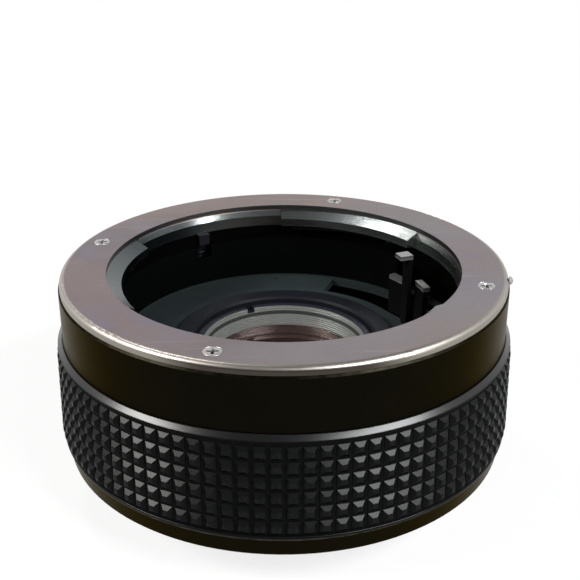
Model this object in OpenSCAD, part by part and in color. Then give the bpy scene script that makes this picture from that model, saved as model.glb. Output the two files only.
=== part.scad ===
// Teleconverter for a bayonet-mount camera, standing on its camera side with the lens side up.
// Millimetres. +Z is the optical axis towards the lens; the origin is the centre of the bottom.
// Depths are measured down from the lens-side mounting face.

/* [Overall] */
// Distance between the lens-side and camera-side mounting faces
flange_gap = 26.8; // [26:0.1:30]
// Depth of the cavity, from the lens-side face to the bulkhead floor
cavity_depth = 12; // [11.5:0.1:12.5]
// Radius of the smooth band under the lens-side ring
band_r = 31.2; // [31:0.1:33]
// Height of the smooth band
band_h = 7.6; // [7.4:0.1:9]
// Radial clearance between fixed pieces that slide together
fit = 0.05; // [0.02:0.01:0.1]
// Radial clearance of a turning ring or a sliding rod
running_fit = 0.05; // [0.02:0.01:0.1]
// Clearance around pieces that pass each other
pass_gap = 0.3; // [0.2:0.05:0.4]

/* [Lens-side mount] */
// Step of the mount ring inside the band's radius
ring_inset = 0.2; // [0:0.05:0.5]
// Thickness of the mount ring's flange
flange_t = 1.1; // [0.9:0.1:1.6]
// Rounding of the mount ring's outer edge
ring_round = 0.7; // [0.3:0.05:0.85]
// Edge chamfer of the camera-side ring
ring_chamfer = 0.15; // [0.05:0.05:0.3]
// Step from the lens register to the throat wall below it
register_step = 0.3; // [0.1:0.05:0.5]
// Depth of the register, down to the outer edge of the tabs
tab_recess = 0.7; // [0.5:0.05:1]
// Drop of the tabs' sloping tops and of the lead-in between them
tab_bevel = 1; // [0.6:0.1:1.2]
// Inward reach of the tabs from the throat wall
tab_reach = 1.7; // [1.4:0.1:2]
// Thickness of the tabs
tab_t = 2.2; // [2:0.05:2.4]
// Angle where the first tab starts
tab_start = 34; // [30:1:38]
// Angle that one tab spans
tab_span = 57; // [52:1:62]
// Wall of the spigot under the flange
spigot_wall = 2.2; // [1.8:0.1:2.4]
// Depth of the spigot below the tabs
spigot_drop = 0.4; // [0.2:0.05:0.5]
// Distance of the mount screws from the spigot
mount_screw_gap = 1.57; // [1.4:0.01:1.8]
// Angle of the first mount screw
mount_screw_start = -17.2; // [-25:0.1:-10]
// Shank radius of the mount screws
mount_screw_r = 0.7; // [0.5:0.05:0.8]
// Head radius of the mount screws
mount_screw_head_r = 1.2; // [1:0.05:1.4]
// Metal left under the tips of the mount screws
mount_screw_margin = 0.8; // [0.5:0.1:1.4]
// Radius of the index bead
bead_r = 0.6; // [0.4:0.05:0.8]
// Angle of the index bead
bead_angle = 350; // [340:1:355]
// Thickness of the leaf springs under the tabs
leaf_t = 0.25; // [0.15:0.05:0.3]
// Downward bend of the leaf springs in degrees
leaf_bend = 1.6; // [1:0.1:2]

/* [Barrels] */
// Chamfer at the top of the band
band_chamfer = 0.3; // [0.1:0.05:0.4]
// Wall of the band's skirt
skirt_wall = 1.5; // [1.2:0.1:1.8]
// Wall of the collar around the throat
collar_wall = 1.8; // [1.4:0.1:2]
// Height of the neck that plugs into the skirt
neck_h = 2.6; // [2:0.1:3]
// Wall of the main barrel beside the cavity
neck_wall = 2; // [1.8:0.1:2.2]
// Width of the ledge that carries the bulkhead
ledge_w = 2.4; // [2:0.1:2.6]
// Depth of the rubber sleeve's seat below the band
seat_inset = 1; // [0.6:0.05:1.3]
// Step of the rim's top edge out from the band
rim_step = 0.75; // [0.3:0.05:1.3]
// Height of the rim
rim_h = 2.78; // [2.2:0.01:3.4]
// Inward taper of the rim down to the bottom
rim_taper = 0.45; // [0.1:0.05:0.8]
// Chamfer at the bottom of the rim
rim_chamfer = 0.3; // [0.1:0.05:0.5]
// Thickness of the barrel's rear wall
rear_wall_t = 2.2; // [1.8:0.1:2.6]

/* [Rubber sleeve] */
// Height of the top row's pyramids above the band
grip_proud = 0.95; // [0.6:0.05:1.8]
// Extra radius at the bottom row
grip_flare = 0.3; // [0:0.05:0.5]
// Rows of pyramids
grip_rows = 6; // [4:1:6]
// Columns of pyramids round the sleeve
grip_columns = 100; // [60:4:120]
// Height of a pyramid above the valleys
grip_tooth = 0.6; // [0.3:0.05:0.8]
// Height of the smooth lip above the rows
grip_lip_h = 0.8; // [0.5:0.05:1.2]
// Height of the smooth foot below the rows
grip_foot_h = 1; // [0.6:0.05:1.2]
// Edge rounding of the lip
grip_lip_bevel = 0.25; // [0.1:0.05:0.4]

/* [Camera-side mount] */
// Depth of the male bayonet below the camera-side face
male_depth = 5.2; // [5:0.1:6]
// Height of the camera-side flange below the rim
rear_step = 1; // [0.8:0.1:1.2]
// Inset of the camera-side flange inside the rim
rear_inset = 1.5; // [1:0.1:2.5]
// Wall of the male tube
male_wall = 1.8; // [1.4:0.1:2]
// Radial clearance of a bayonet in its throat
bayonet_gap = 0.3; // [0.2:0.05:0.4]
// Angle that one lug spans
lug_span = 48; // [40:1:50]
// Thickness of the lugs
lug_t = 1.5; // [1.2:0.1:1.7]
// Height of the male tube below its lugs
male_lip = 0.5; // [0.3:0.05:0.8]
// Distance of the rear screws from the flange's edge
rear_screw_inset = 3.5; // [3:0.1:4]
// Metal left above the tips of the rear screws
rear_screw_margin = 0.4; // [0.3:0.05:0.8]

/* [Lens cell] */
// Wall of the cell
cell_wall = 1.9; // [1.6:0.1:2]
// Width of the cell's flange outside its body
cell_flange_w = 1.1; // [0.8:0.1:1.2]
// Thickness of the cell's flange
cell_flange_t = 0.8; // [0.6:0.1:1]
// Depth of the front retaining ring below the cell's flange
ring_sink = 0.9; // [0.5:0.1:1.2]
// Height of the front retaining ring
front_ring_h = 2.9; // [2:0.1:3]
// Width of the rings that hold the glass round the clear opening
clear_inset = 2.1; // [1.6:0.1:2.6]
// Outward flare of the front retaining ring
ring_flare = 0.9; // [0.4:0.1:1.2]
// Height of the rear retaining ring
rear_ring_h = 1.3; // [1:0.1:1.6]
// Thickness of the spacers and of the cell's inner rib
spacer_t = 0.8; // [0.7:0.05:1.2]
// Edge thickness of the front element
front_glass_t = 2.2; // [2:0.1:2.4]
// Edge thickness of the second element
second_glass_t = 1.8; // [1.6:0.1:2]
// Edge thickness of the third element
third_glass_t = 2; // [1.8:0.1:2.2]
// Edge thickness of the rear element
rear_glass_t = 1.8; // [1.6:0.1:2]
// Depth or height of the curved glass faces
glass_sag = 0.5; // [0.3:0.05:0.6]

/* [Coupling rings] */
// Thickness of the bulkhead
bulkhead_t = 1.2; // [1:0.1:1.4]
// Wall of the hub under the bulkhead
hub_wall = 2; // [1.8:0.1:2.2]
// Radial width of a coupling ring
coupling_w = 3.6; // [3.2:0.1:3.6]
// Height of a coupling ring
coupling_h = 1.9; // [1.6:0.1:2.2]
// Thickness of the slip washer
washer_t = 0.25; // [0.2:0.05:0.3]
// End clearance of the coupling rings
end_gap = 0.1; // [0.05:0.05:0.2]
// Thickness of the keeper ring
keeper_t = 0.6; // [0.5:0.1:0.8]
// Thickness of the lever strips
lever_t = 0.7; // [0.5:0.05:0.8]
// Width of the lever strips
lever_w = 1.8; // [1.4:0.1:2]
// Inward bend of the stop-down lever's tip
lever_tip = 1.3; // [0.8:0.1:1.4]
// Depth of the stop-down lever's tip
stop_tip_depth = 1.6; // [1.4:0.1:3]
// Angle of the stop-down lever
stop_lever_angle = 21.5; // [18:0.5:24]
// Turn of the stop-down ring
stop_turn = 30; // [10:1:30]
// Width of the meter prongs
prong_w = 3; // [2:0.1:3.2]
// Outward bend of the meter prongs' tips
prong_tip = 0.4; // [0.2:0.1:0.8]
// Depth of the first meter prong's tip
first_prong_depth = 6; // [5.6:0.1:6.4]
// Depth of the second meter prong's tip
second_prong_depth = 7.4; // [7:0.1:7.8]
// Angle of the first meter prong
first_prong_angle = 16.5; // [14:0.5:18]
// Angle of the second meter prong
second_prong_angle = 34.5; // [32:0.5:36]
// Turn of the meter ring, the other way
meter_turn = 40; // [10:1:40]
// Angle of the stop-down ring's rear lever
stop_rear_angle = 280; // [275:1:285]
// Angle of the meter ring's rear lever
meter_rear_angle = 150; // [146:1:154]
// Height of the rear lever tips above the bottom
lever_ground_gap = 1; // [0.6:0.1:2]
// Angle of the floor window's straight left edge
window_end = 70; // [64:1:76]

/* [Springs and lock] */
// Wire radius of the coupling springs
coupling_wire_r = 0.14; // [0.1:0.01:0.16]
// Coil radius of the coupling springs
coupling_coil_r = 0.75; // [0.6:0.05:0.8]
// Turns of a coupling spring
coupling_turns = 9; // [6:1:9]
// Angle between the two ends of a coupling spring
coupling_spring_span = 26; // [24:1:28]
// Radius of the pins that hold the springs
spring_pin_r = 0.5; // [0.4:0.05:0.6]
// Radius of the latch rod
rod_r = 0.7; // [0.6:0.05:0.8]
// Reach of the latch's nose into the throat
nose_reach = 0.7; // [0.4:0.05:0.9]
// Width of the latch's nose
nose_w = 1.8; // [1.4:0.1:2]
// Travel of the latch
latch_travel = 1.9; // [1.6:0.1:1.9]
// Thickness of the latch's arm
arm_t = 1.2; // [1:0.1:1.3]
// Wire radius of the latch spring
lock_wire_r = 0.18; // [0.12:0.01:0.2]
// Coil radius of the latch spring
lock_coil_r = 1.1; // [1.05:0.05:1.2]
// Turns of the latch spring
lock_turns = 5; // [3:1:6]
// Clearance round the seat of the latch spring
lock_gap = 0.25; // [0.2:0.05:0.4]
// Height of the thumb slide
slide_h = 2.8; // [2.4:0.1:2.9]
// Thickness of the thumb slide
slide_t = 1.4; // [1:0.1:1.6]
// Clearance of the thumb slide from the sleeve when it is down
slide_margin = 0.2; // [0.1:0.05:0.6]
// Angle that the thumb slide spans
slide_span = 18; // [14:1:22]
// Ribs on the thumb slide
slide_ribs = 4; // [3:1:5]

/* [Hidden] */
$fn = 96;

// Small overlap that makes cuts and joined shapes clean
eps = 0.01;
// Extra length of a cutting shape beyond the face it opens
cut = 1;
// Colours as they show in the photo
mount_metal = [0.62, 0.58, 0.57];
bright_metal = [0.8, 0.8, 0.79];
black_metal = [0.09, 0.09, 0.08];
matt_black = [0.12, 0.13, 0.14];
rubber_grey = [0.2, 0.21, 0.21];
ring_grey = [0.5, 0.53, 0.52];
lever_metal = [0.45, 0.46, 0.47];
brass = [0.7, 0.55, 0.26];
glass = [0.35, 0.25, 0.24, 0.6];
tab_count = 3;
mount_screw_count = 4;
small_screw_count = 3;

// Height of a point at a given depth below the lens-side face
face_z = male_depth + flange_gap;
function down(depth) = face_z - depth;

// Radii step inwards from the band through its walls and the lock to the throat
skirt_r = band_r - skirt_wall;
neck_r = skirt_r - 2 * fit;
inner_r = neck_r - neck_wall;
ledge_r = inner_r - ledge_w;
disc_lip = 0.07;
disc_r = lock_coil_r + lock_wire_r + disc_lip;
lock_r = inner_r - disc_r - lock_gap;
throat_r = lock_r - disc_r - lock_gap;
register_r = throat_r + register_step;

// Depths in the band: the thumb slide stays on it, and the web is over the latch's arm
band_bottom = flange_t + band_h;
slide_mid = band_bottom - slide_margin - latch_travel - slide_h / 2;
arm_top = slide_mid - arm_t / 2;
arm_bottom = arm_top + arm_t;
arm_gap = 0.2;
web_bottom = arm_top - arm_gap;

// Lens-side ring
ring_r = band_r - ring_inset;
tab_r = throat_r - tab_reach;
tab_edge = tab_recess + tab_bevel;
tab_bottom = tab_recess + tab_t;
spigot_r = throat_r + spigot_wall;
spigot_bottom = tab_bottom + spigot_drop;
gap_span = 360 / tab_count - tab_span;
mount_screw_circle = spigot_r + mount_screw_gap;
mount_screw_len = web_bottom - mount_screw_margin;
screw_cone = 0.6;
recess_size = 1.44;
recess_arm_w = 0.36;
recess_depth = 0.42;
slot_w = 0.25;
bead_shank_r = bead_r / 2;
leaf_setback = 4;
leaf_root = 18;
leaf_lap = 2;
leaf_crease = 0.06;
leaf_shoulder = 0.12;
leaf_length = tab_span - leaf_root + leaf_lap - leaf_setback;
rivet_r = 0.45;
rivet_head_r = 0.65;
rivet_head_h = 0.3;
rivet_len = 0.8;
leaf_r0 = tab_r + bayonet_gap;
leaf_r1 = throat_r - bayonet_gap / 2;

// Barrels
collar_r0 = throat_r + fit;
collar_r1 = collar_r0 + collar_wall;
collar_drop = 2;
collar_bottom = web_bottom + collar_drop;
ledge_depth = cavity_depth + bulkhead_t;
seat_r = band_r - seat_inset;
rim_r = band_r + rim_step;
rim_foot_r = rim_r - rim_taper;
rim_bottom = flange_gap - rear_step;
rim_top = rim_bottom - rim_h;
grip_r = band_r + grip_proud;
grip_top = band_bottom + fit;
grip_bottom = rim_top - fit;
rows_top = grip_top + grip_lip_h;
rows_bottom = grip_bottom - grip_foot_h;
grip_row_h = (rows_bottom - rows_top) / grip_rows;

// Camera-side ring
rear_r = rim_foot_r - rear_inset;
male_r = tab_r - bayonet_gap;
rear_bore_r = male_r - male_wall;
lug_r = throat_r - bayonet_gap;
lug_start = tab_start + (tab_span - lug_span) / 2;
lug_drop = male_depth - male_lip - lug_t;
rear_hole_r = male_r + 2 * bayonet_gap;
rear_screw_circle = rear_r - rear_screw_inset;
rear_screw_len = rear_step + rear_wall_t - rear_screw_margin;

// Radii step inwards from the rear bore through the coupling rings to the lens cell
coupling_r = rear_bore_r;
coupling_r0 = coupling_r - coupling_w;
hub_r = coupling_r0 - running_fit;
hub_r0 = hub_r - hub_wall;
cell_r = hub_r0 - fit;
cell_bore_r = cell_r - cell_wall;
clear_r = cell_bore_r - clear_inset;

// Lens cell, as depths from the front of the stack down
cell_top = cavity_depth - cell_flange_t;
front_ring_top = cell_top + ring_sink;
front_glass_top = front_ring_top + front_ring_h;
front_spacer_top = front_glass_top + front_glass_t;
second_glass_top = front_spacer_top + spacer_t;
rib_top = second_glass_top + second_glass_t;
third_glass_top = rib_top + spacer_t;
rear_spacer_top = third_glass_top + third_glass_t;
rear_glass_top = rear_spacer_top + spacer_t;
rear_ring_top = rear_glass_top + rear_glass_t;
cell_bottom = rear_ring_top + rear_ring_h;
glass_r = cell_bore_r - fit;
glass_gap = 0.025;
rear_sag = 0.3;
cap_facets = 180;
cell_chamfer = 0.3;
ring_land = 0.3;
rear_ring_sink = 0.2;
rear_ring_chamfer = 0.4;
spanner_w = 1.2;
spanner_depth = 0.7;
spanner_angle = 116;

// Coupling rings, as depths
stop_top = ledge_depth + end_gap + pass_gap;
stop_bottom = stop_top + coupling_h;
washer_top = stop_bottom + end_gap;
meter_top = washer_top + washer_t + end_gap;
meter_bottom = meter_top + coupling_h;
hub_bottom = meter_bottom + end_gap;
keeper_bottom = hub_bottom + keeper_t;
lever_rim = 0.5;
stop_lever_r = coupling_r - lever_t - lever_rim;
stem_r = coupling_r + pass_gap;
stem_end = stem_r + lever_t;
rear_lever_gap = 0.5;
rear_lever_r1 = rear_bore_r - rear_lever_gap;
rear_lever_r0 = rear_lever_r1 - lever_t;
keeper_inset = 1.5;
keeper_r = min(coupling_r - keeper_inset, rear_lever_r0 - pass_gap);
baffle_t = 0.5;
foot_clear = 2.75;
foot_depth = rim_bottom - baffle_t - foot_clear;
spring_offset = 1.4;
spring_r = stem_r + spring_offset;
meter_tip_depths = [first_prong_depth, second_prong_depth];
meter_prong_angles = [first_prong_angle, second_prong_angle];
window_margin = 1;
window_end_margin = 8;
window_r0 = stop_lever_r - window_margin;
window_start = first_prong_angle - meter_turn - window_end_margin;
ear_t = 0.5;
ear_w = 1.6;
ear_lap = 0.5;
prong_lap = 0.2;
ear_margin = 0.2;
washer_inset = 0.4;
stop_ear_angle = 120;
meter_ear_angle = 225;
post_shoulder = 0.1;
post_r = spring_pin_r + post_shoulder;
post_recess = 0.2;
slot_margin = 5;
baffle_r0 = cell_r + pass_gap;
baffle_r1 = male_r + bayonet_gap;
baffle_screw_circle = rear_bore_r + (baffle_r1 - rear_bore_r) / 2;
bulkhead_screw_inset = 1;
bulkhead_screw_circle = inner_r - bulkhead_screw_inset;
small_screw_r = 0.5;
small_head_r = 0.8;
small_head_h = 0.5;
small_screw_len = 2.6;
keeper_screw_circle = (hub_r0 + hub_r) / 2;
baffle_screw_r = 0.35;
baffle_head_r = 0.64;
baffle_head_h = 0.4;
baffle_screw_len = baffle_t + rear_step * 0.8;

// Baffle tube
tube_r1 = throat_r;
tube_wall = 0.55;
tube_gap = 0.7;
tube_top = lug_drop + lug_t + tube_gap;
tube_base = 1;
tube_window = [-40, 42];
window_r1 = tube_r1 - tube_wall - pass_gap;

// Lock, in a frame whose X axis points out through the latch
lock_angle = tab_start + tab_span + gap_span / 2;
bulkhead_screw_angle = lock_angle + 60;
baffle_screw_angle = lock_angle - 55;
nose_gap = 0.1;
nose_top = spigot_bottom + nose_gap;
nose_extra = 0.2;
nose_h = lug_t + nose_extra;
arm_w = 1.6;
arm_inset = 0.3;
arm_end = band_r - arm_inset;
disc_t = 0.6;
rod_recess = 0.3;
rod_bottom = ledge_depth - rod_recess;
slide_gap = 0.15;
slide_r = band_r + slide_gap;
slide_lap = 0.3;
rib_depth = 0.35;
rib_slope = 0.21;
release_screw_r = 0.4;
release_head_r = 0.75;
release_head_h = 0.4;
release_sink = 0.6;
release_thread = 1.2;
release_hole = 2;

// Shapes shared by several pieces
module ring(r0, r1, top, bottom) {
    rotate_extrude() translate([r0, down(bottom)]) square([r1 - r0, bottom - top]);
}

module sector(r0, r1, top, bottom, start, span) {
    rotate([0, 0, start]) rotate_extrude(angle = span)
        translate([r0, down(bottom)]) square([r1 - r0, bottom - top]);
}

module turned(points) {
    rotate_extrude() polygon([for (p = points) [p[0], down(p[1])]]);
}

// Upright strip between two radii, centred on an angle
module strip(r0, r1, width, top, bottom, angle) {
    rotate([0, 0, angle]) translate([r0, -width / 2, down(bottom)])
        cube([r1 - r0, width, bottom - top]);
}

// Upright round bar at a radius and an angle
module bar(radius, at_r, angle, top, bottom) {
    rotate([0, 0, angle]) translate([at_r, 0, down(bottom)])
        cylinder(r = radius, h = bottom - top);
}

module cross_recess() {
    for (turn = [0, 90]) rotate([0, 0, turn])
        translate([-recess_size / 2, -recess_arm_w / 2, -recess_depth])
            cube([recess_size, recess_arm_w, recess_depth + eps]);
}

// Flat-topped screw with its head at z = 0, pointing down
module countersunk_screw(shank_r, head_r, length) {
    difference() {
        union() {
            translate([0, 0, -screw_cone]) cylinder(r1 = shank_r, r2 = head_r, h = screw_cone);
            translate([0, 0, -length]) cylinder(r = shank_r, h = length - screw_cone + eps);
        }
        cross_recess();
    }
}

// Hole that a countersunk screw drops into, with the seat at z = 0
module countersunk_hole(shank_r, head_r, length) {
    translate([0, 0, -screw_cone]) cylinder(r1 = shank_r + fit, r2 = head_r + fit, h = screw_cone);
    translate([0, 0, -length - fit]) cylinder(r = shank_r + fit, h = length);
    cylinder(r = head_r + fit, h = cut);
}

// Cheese-head screw whose head rests on z = 0, pointing down
module cheese_screw(shank_r, head_r, head_h, length) {
    difference() {
        union() {
            cylinder(r = head_r, h = head_h);
            translate([0, 0, -length]) cylinder(r = shank_r, h = length + eps);
        }
        translate([-head_r, -slot_w / 2, head_h / 2]) cube([2 * head_r, slot_w, head_h]);
    }
}

module around(count, radius, start, depth) {
    for (i = [0 : count - 1]) rotate([0, 0, start + i * 360 / count])
        translate([radius, 0, down(depth)]) children();
}

module at_lock() {
    rotate([0, 0, lock_angle]) children();
}

// Wire springs: a tube swept along points, each with a matching outward direction
wire_sides = 6;
points_per_turn = 8;
function unit(v) = v / norm(v);
function tangent(path, i) = unit(path[min(i + 1, len(path) - 1)] - path[max(i - 1, 0)]);
function section(centre, along, out, r) =
    let (n = unit(out - (out * along) * along), b = cross(along, n))
    [for (s = [0 : wire_sides - 1])
        centre + r * (cos(s * 360 / wire_sides) * n + sin(s * 360 / wire_sides) * b)];
function helix_angle(i) = i * 360 / points_per_turn;
function outward(i) = [cos(helix_angle(i)), sin(helix_angle(i)), 0];

// Coil along +Z with straight ends; ramp is the share of a turn over which it opens from the axis
function coil_path(coil_r, length, turns, leg, ramp) =
    let (last = turns * points_per_turn, rise = (length - 2 * leg) / last,
        open = [for (i = [0 : last]) ramp == 0 ? 1 : min(1, i / (ramp * points_per_turn),
            (last - i) / (ramp * points_per_turn))])
    concat(
        [coil_r * open[0] * outward(0)],
        [for (i = [0 : last]) coil_r * open[i] * outward(i) + [0, 0, leg + i * rise]],
        [coil_r * open[last] * outward(last) + [0, 0, length]]);
function coil_outward(turns) =
    let (last = turns * points_per_turn)
    concat([outward(0)], [for (i = [0 : last]) outward(i)], [outward(last)]);
function least_gap(path, wire_r) =
    min([for (i = [0 : len(path) - 1], k = [i + points_per_turn / 2 : 1 : len(path) - 1])
        norm(path[i] - path[k])]) - 2 * wire_r;

module wire(path, outs, wire_r) {
    count = len(path);
    points = [for (i = [0 : count - 1]) each section(path[i], tangent(path, i), outs[i], wire_r)];
    side_faces = [for (i = [0 : count - 2], s = [0 : wire_sides - 1])
        let (a = i * wire_sides + s, b = i * wire_sides + (s + 1) % wire_sides)
        each [[a, a + wire_sides, b + wire_sides], [a, b + wire_sides, b]]];
    last = (count - 1) * wire_sides;
    caps = [for (s = [1 : wire_sides - 2]) each [[0, s, s + 1], [last, last + s + 1, last + s]]];
    polyhedron(points, concat(side_faces, caps));
}

// Lens-side mount
// Waste outside a quarter round on the outer edge of the lens-side face
module rounding_cut(outer_r, radius) {
    rotate_extrude() translate([outer_r - radius, down(radius)]) difference() {
        square([radius + cut, radius + cut]);
        circle(r = radius);
    }
}

module tabs() {
    outer = register_r + eps;
    profile = [[tab_r, tab_edge], [outer, tab_recess], [outer, tab_bottom], [tab_r, tab_bottom]];
    for (i = [0 : tab_count - 1]) rotate([0, 0, tab_start + i * 360 / tab_count])
        rotate_extrude(angle = tab_span) polygon([for (p = profile) [p[0], down(p[1])]]);
}

module front_mount_ring() {
    color(mount_metal) difference() {
        union() {
            turned([
                [register_r, 0], [ring_r, 0], [ring_r, flange_t],
                [spigot_r, flange_t], [spigot_r, spigot_bottom], [throat_r, spigot_bottom],
                [throat_r, tab_edge], [register_r, tab_recess]
            ]);
            tabs();
        }
        rounding_cut(ring_r, ring_round);
        around(mount_screw_count, mount_screw_circle, mount_screw_start, 0)
            countersunk_hole(mount_screw_r, mount_screw_head_r, flange_t + cut);
        rotate([0, 0, bead_angle]) translate([ring_r - bead_r, 0, down(flange_t / 2)])
            rotate([0, 90, 0]) cylinder(r = bead_shank_r + fit, h = 2 * bead_r);
        leaf_rivet_places() translate([0, 0, -eps])
            cylinder(r = rivet_r + fit, h = rivet_len + fit);
    }
}

module front_mount_screws() {
    color(bright_metal) around(mount_screw_count, mount_screw_circle, mount_screw_start, 0)
        countersunk_screw(mount_screw_r, mount_screw_head_r, mount_screw_len);
}

module index_bead() {
    color(bright_metal) rotate([0, 0, bead_angle]) translate([ring_r, 0, down(flange_t / 2)]) {
        translate([-bead_r + fit, 0, 0]) rotate([0, 90, 0])
            cylinder(r = bead_shank_r, h = bead_r + fit);
        intersection() {
            sphere(r = bead_r);
            translate([fit / 2, -bead_r, -flange_t / 2]) cube([2 * bead_r, 2 * bead_r, flange_t]);
        }
    }
}

module leaf_rivet_places() {
    around(tab_count, (leaf_r0 + leaf_r1) / 2, tab_start + (leaf_setback + leaf_root) / 2, tab_bottom)
        children();
}

module leaf() {
    top = tab_bottom + fit / 2;
    arm = top + leaf_crease;
    sector(leaf_r0, leaf_r1, top, top + leaf_t, leaf_setback, leaf_root - leaf_setback);
    translate([0, 0, down(arm)]) rotate([0, 0, leaf_root - leaf_lap]) rotate([-leaf_bend, 0, 0])
        translate([0, 0, -down(arm)])
        sector(leaf_r0 + leaf_shoulder, leaf_r1 - leaf_shoulder, arm, arm + leaf_t, 0, leaf_length);
}

module bayonet_leaf_springs() {
    color(bright_metal) difference() {
        for (i = [0 : tab_count - 1]) rotate([0, 0, tab_start + i * 360 / tab_count]) leaf();
        leaf_rivet_places() translate([0, 0, -cut]) cylinder(r = rivet_r + fit, h = 2 * cut);
    }
}

module leaf_spring_rivets() {
    color(brass) leaf_rivet_places() {
        translate([0, 0, -leaf_t - fit]) cylinder(r = rivet_r, h = rivet_len + leaf_t);
        translate([0, 0, -leaf_t - fit - rivet_head_h]) cylinder(r = rivet_head_r, h = rivet_head_h);
    }
}

// Barrels
module front_barrel() {
    color(black_metal) difference() {
        turned([
            [collar_r0, spigot_bottom + fit], [spigot_r + fit, spigot_bottom + fit],
            [spigot_r + fit, flange_t], [band_r - band_chamfer, flange_t],
            [band_r, flange_t + band_chamfer], [band_r, band_bottom],
            [skirt_r, band_bottom], [skirt_r, web_bottom], [collar_r1, web_bottom],
            [collar_r1, collar_bottom], [collar_r0, collar_bottom]
        ]);
        around(mount_screw_count, mount_screw_circle, mount_screw_start, flange_t)
            translate([0, 0, flange_t - mount_screw_len - fit])
            cylinder(r = mount_screw_r + fit, h = mount_screw_len);
        at_lock() {
            strip(throat_r - nose_reach, lock_r + rod_r + pass_gap, nose_w + 2 * pass_gap,
                flange_t + cut, collar_bottom + cut, 0);
            strip(throat_r - nose_reach, collar_r1 + 2 * cut, 2 * (disc_r + pass_gap),
                arm_top + arm_gap, collar_bottom + cut, 0);
            strip(skirt_r - cut, band_r + cut, arm_w + pass_gap,
                web_bottom, arm_bottom + latch_travel + pass_gap / 2, 0);
        }
    }
}

module main_barrel() {
    color(black_metal) difference() {
        turned([
            [neck_r, band_bottom - neck_h], [neck_r, band_bottom + fit], [seat_r, band_bottom + fit],
            [seat_r, rim_top], [rim_r, rim_top], [rim_foot_r, rim_bottom - rim_chamfer],
            [rim_foot_r - rim_chamfer, rim_bottom], [rear_hole_r, rim_bottom],
            [rear_hole_r, rim_bottom - rear_wall_t], [ledge_r, rim_bottom - rear_wall_t],
            [ledge_r, ledge_depth], [inner_r, ledge_depth], [inner_r, band_bottom - neck_h]
        ]);
        at_lock() {
            strip(inner_r - cut, neck_r + cut, arm_w + 2 * pass_gap, band_bottom - neck_h - cut,
                arm_bottom + latch_travel + pass_gap, 0);
            bar(rod_r + pass_gap, lock_r, 0, ledge_depth - cut, rod_bottom + latch_travel + pass_gap);
        }
        around(small_screw_count, bulkhead_screw_circle, bulkhead_screw_angle, ledge_depth)
            translate([0, 0, bulkhead_t - small_screw_len - fit])
            cylinder(r = small_screw_r + fit, h = small_screw_len);
        around(mount_screw_count, rear_screw_circle, mount_screw_start, rim_bottom)
            translate([0, 0, -eps])
            cylinder(r = mount_screw_r + fit, h = rear_screw_len - rear_step + 2 * fit);
    }
}

// Rubber sleeve: rings of points round the profile, with an apex in each cell of the rows
function grip_peak(depth) = grip_r + grip_flare * (depth - rows_top) / (rows_bottom - rows_top);
sleeve_inner_r = (seat_r + fit) / cos(180 / grip_columns);
lip_lap = grip_lip_h / 8;
lip_bottom = rows_top - lip_lap;
lip_shoulder = 1.4 * grip_lip_bevel;
foot_r = grip_r + grip_flare - grip_lip_bevel;
foot_profile = [
    [sleeve_inner_r, grip_bottom], [foot_r - grip_lip_bevel, grip_bottom],
    [foot_r, grip_bottom - grip_lip_bevel], [foot_r, rows_bottom + grip_lip_bevel]
];
sleeve_profile = concat(
    foot_profile,
    [for (i = [grip_rows : -1 : 0]) let (d = rows_top + i * grip_row_h) [grip_peak(d) - grip_tooth, d]],
    [[grip_r, lip_bottom], [grip_r, grip_top + lip_shoulder],
        [grip_r - grip_lip_bevel, grip_top + grip_lip_bevel / 2],
        [band_r, grip_top], [sleeve_inner_r, grip_top]]);

module grip_sleeve() {
    count = len(sleeve_profile);
    step = 360 / grip_columns;
    rings = [for (p = sleeve_profile, j = [0 : grip_columns - 1])
        [p[0] * cos(j * step), p[0] * sin(j * step), down(p[1])]];
    apexes = [for (i = [0 : grip_rows - 1], j = [0 : grip_columns - 1])
        let (d = rows_bottom - (i + 0.5) * grip_row_h, r = grip_peak(d))
        [r * cos((j + 0.5) * step), r * sin((j + 0.5) * step), down(d)]];
    faces = [for (k = [0 : count - 1], j = [0 : grip_columns - 1])
        let (a = k * grip_columns + j, b = k * grip_columns + (j + 1) % grip_columns,
            c = ((k + 1) % count) * grip_columns + (j + 1) % grip_columns,
            d = ((k + 1) % count) * grip_columns + j,
            row = k - len(foot_profile),
            apex = len(rings) + row * grip_columns + j)
        each (row >= 0 && row < grip_rows
            ? [[a, d, apex], [d, c, apex], [c, b, apex], [b, a, apex]]
            : [[a, d, c], [a, c, b]])];
    color(rubber_grey) polyhedron(concat(rings, apexes), faces);
}

// Inside of the cavity
module baffle_tube() {
    color(matt_black) difference() {
        ring(tube_r1 - tube_wall, tube_r1, tube_top, cavity_depth);
        sector(tube_r1 - cut, tube_r1 + cut, tube_top - cut, cavity_depth - tube_base, tube_window[0],
            tube_window[1] - tube_window[0]);
        at_lock() strip(tube_r1 - 2 * cut, tube_r1 + cut, nose_w + 2 * pass_gap, tube_top - cut,
            nose_top + nose_h + latch_travel + pass_gap, 0);
    }
}

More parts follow.
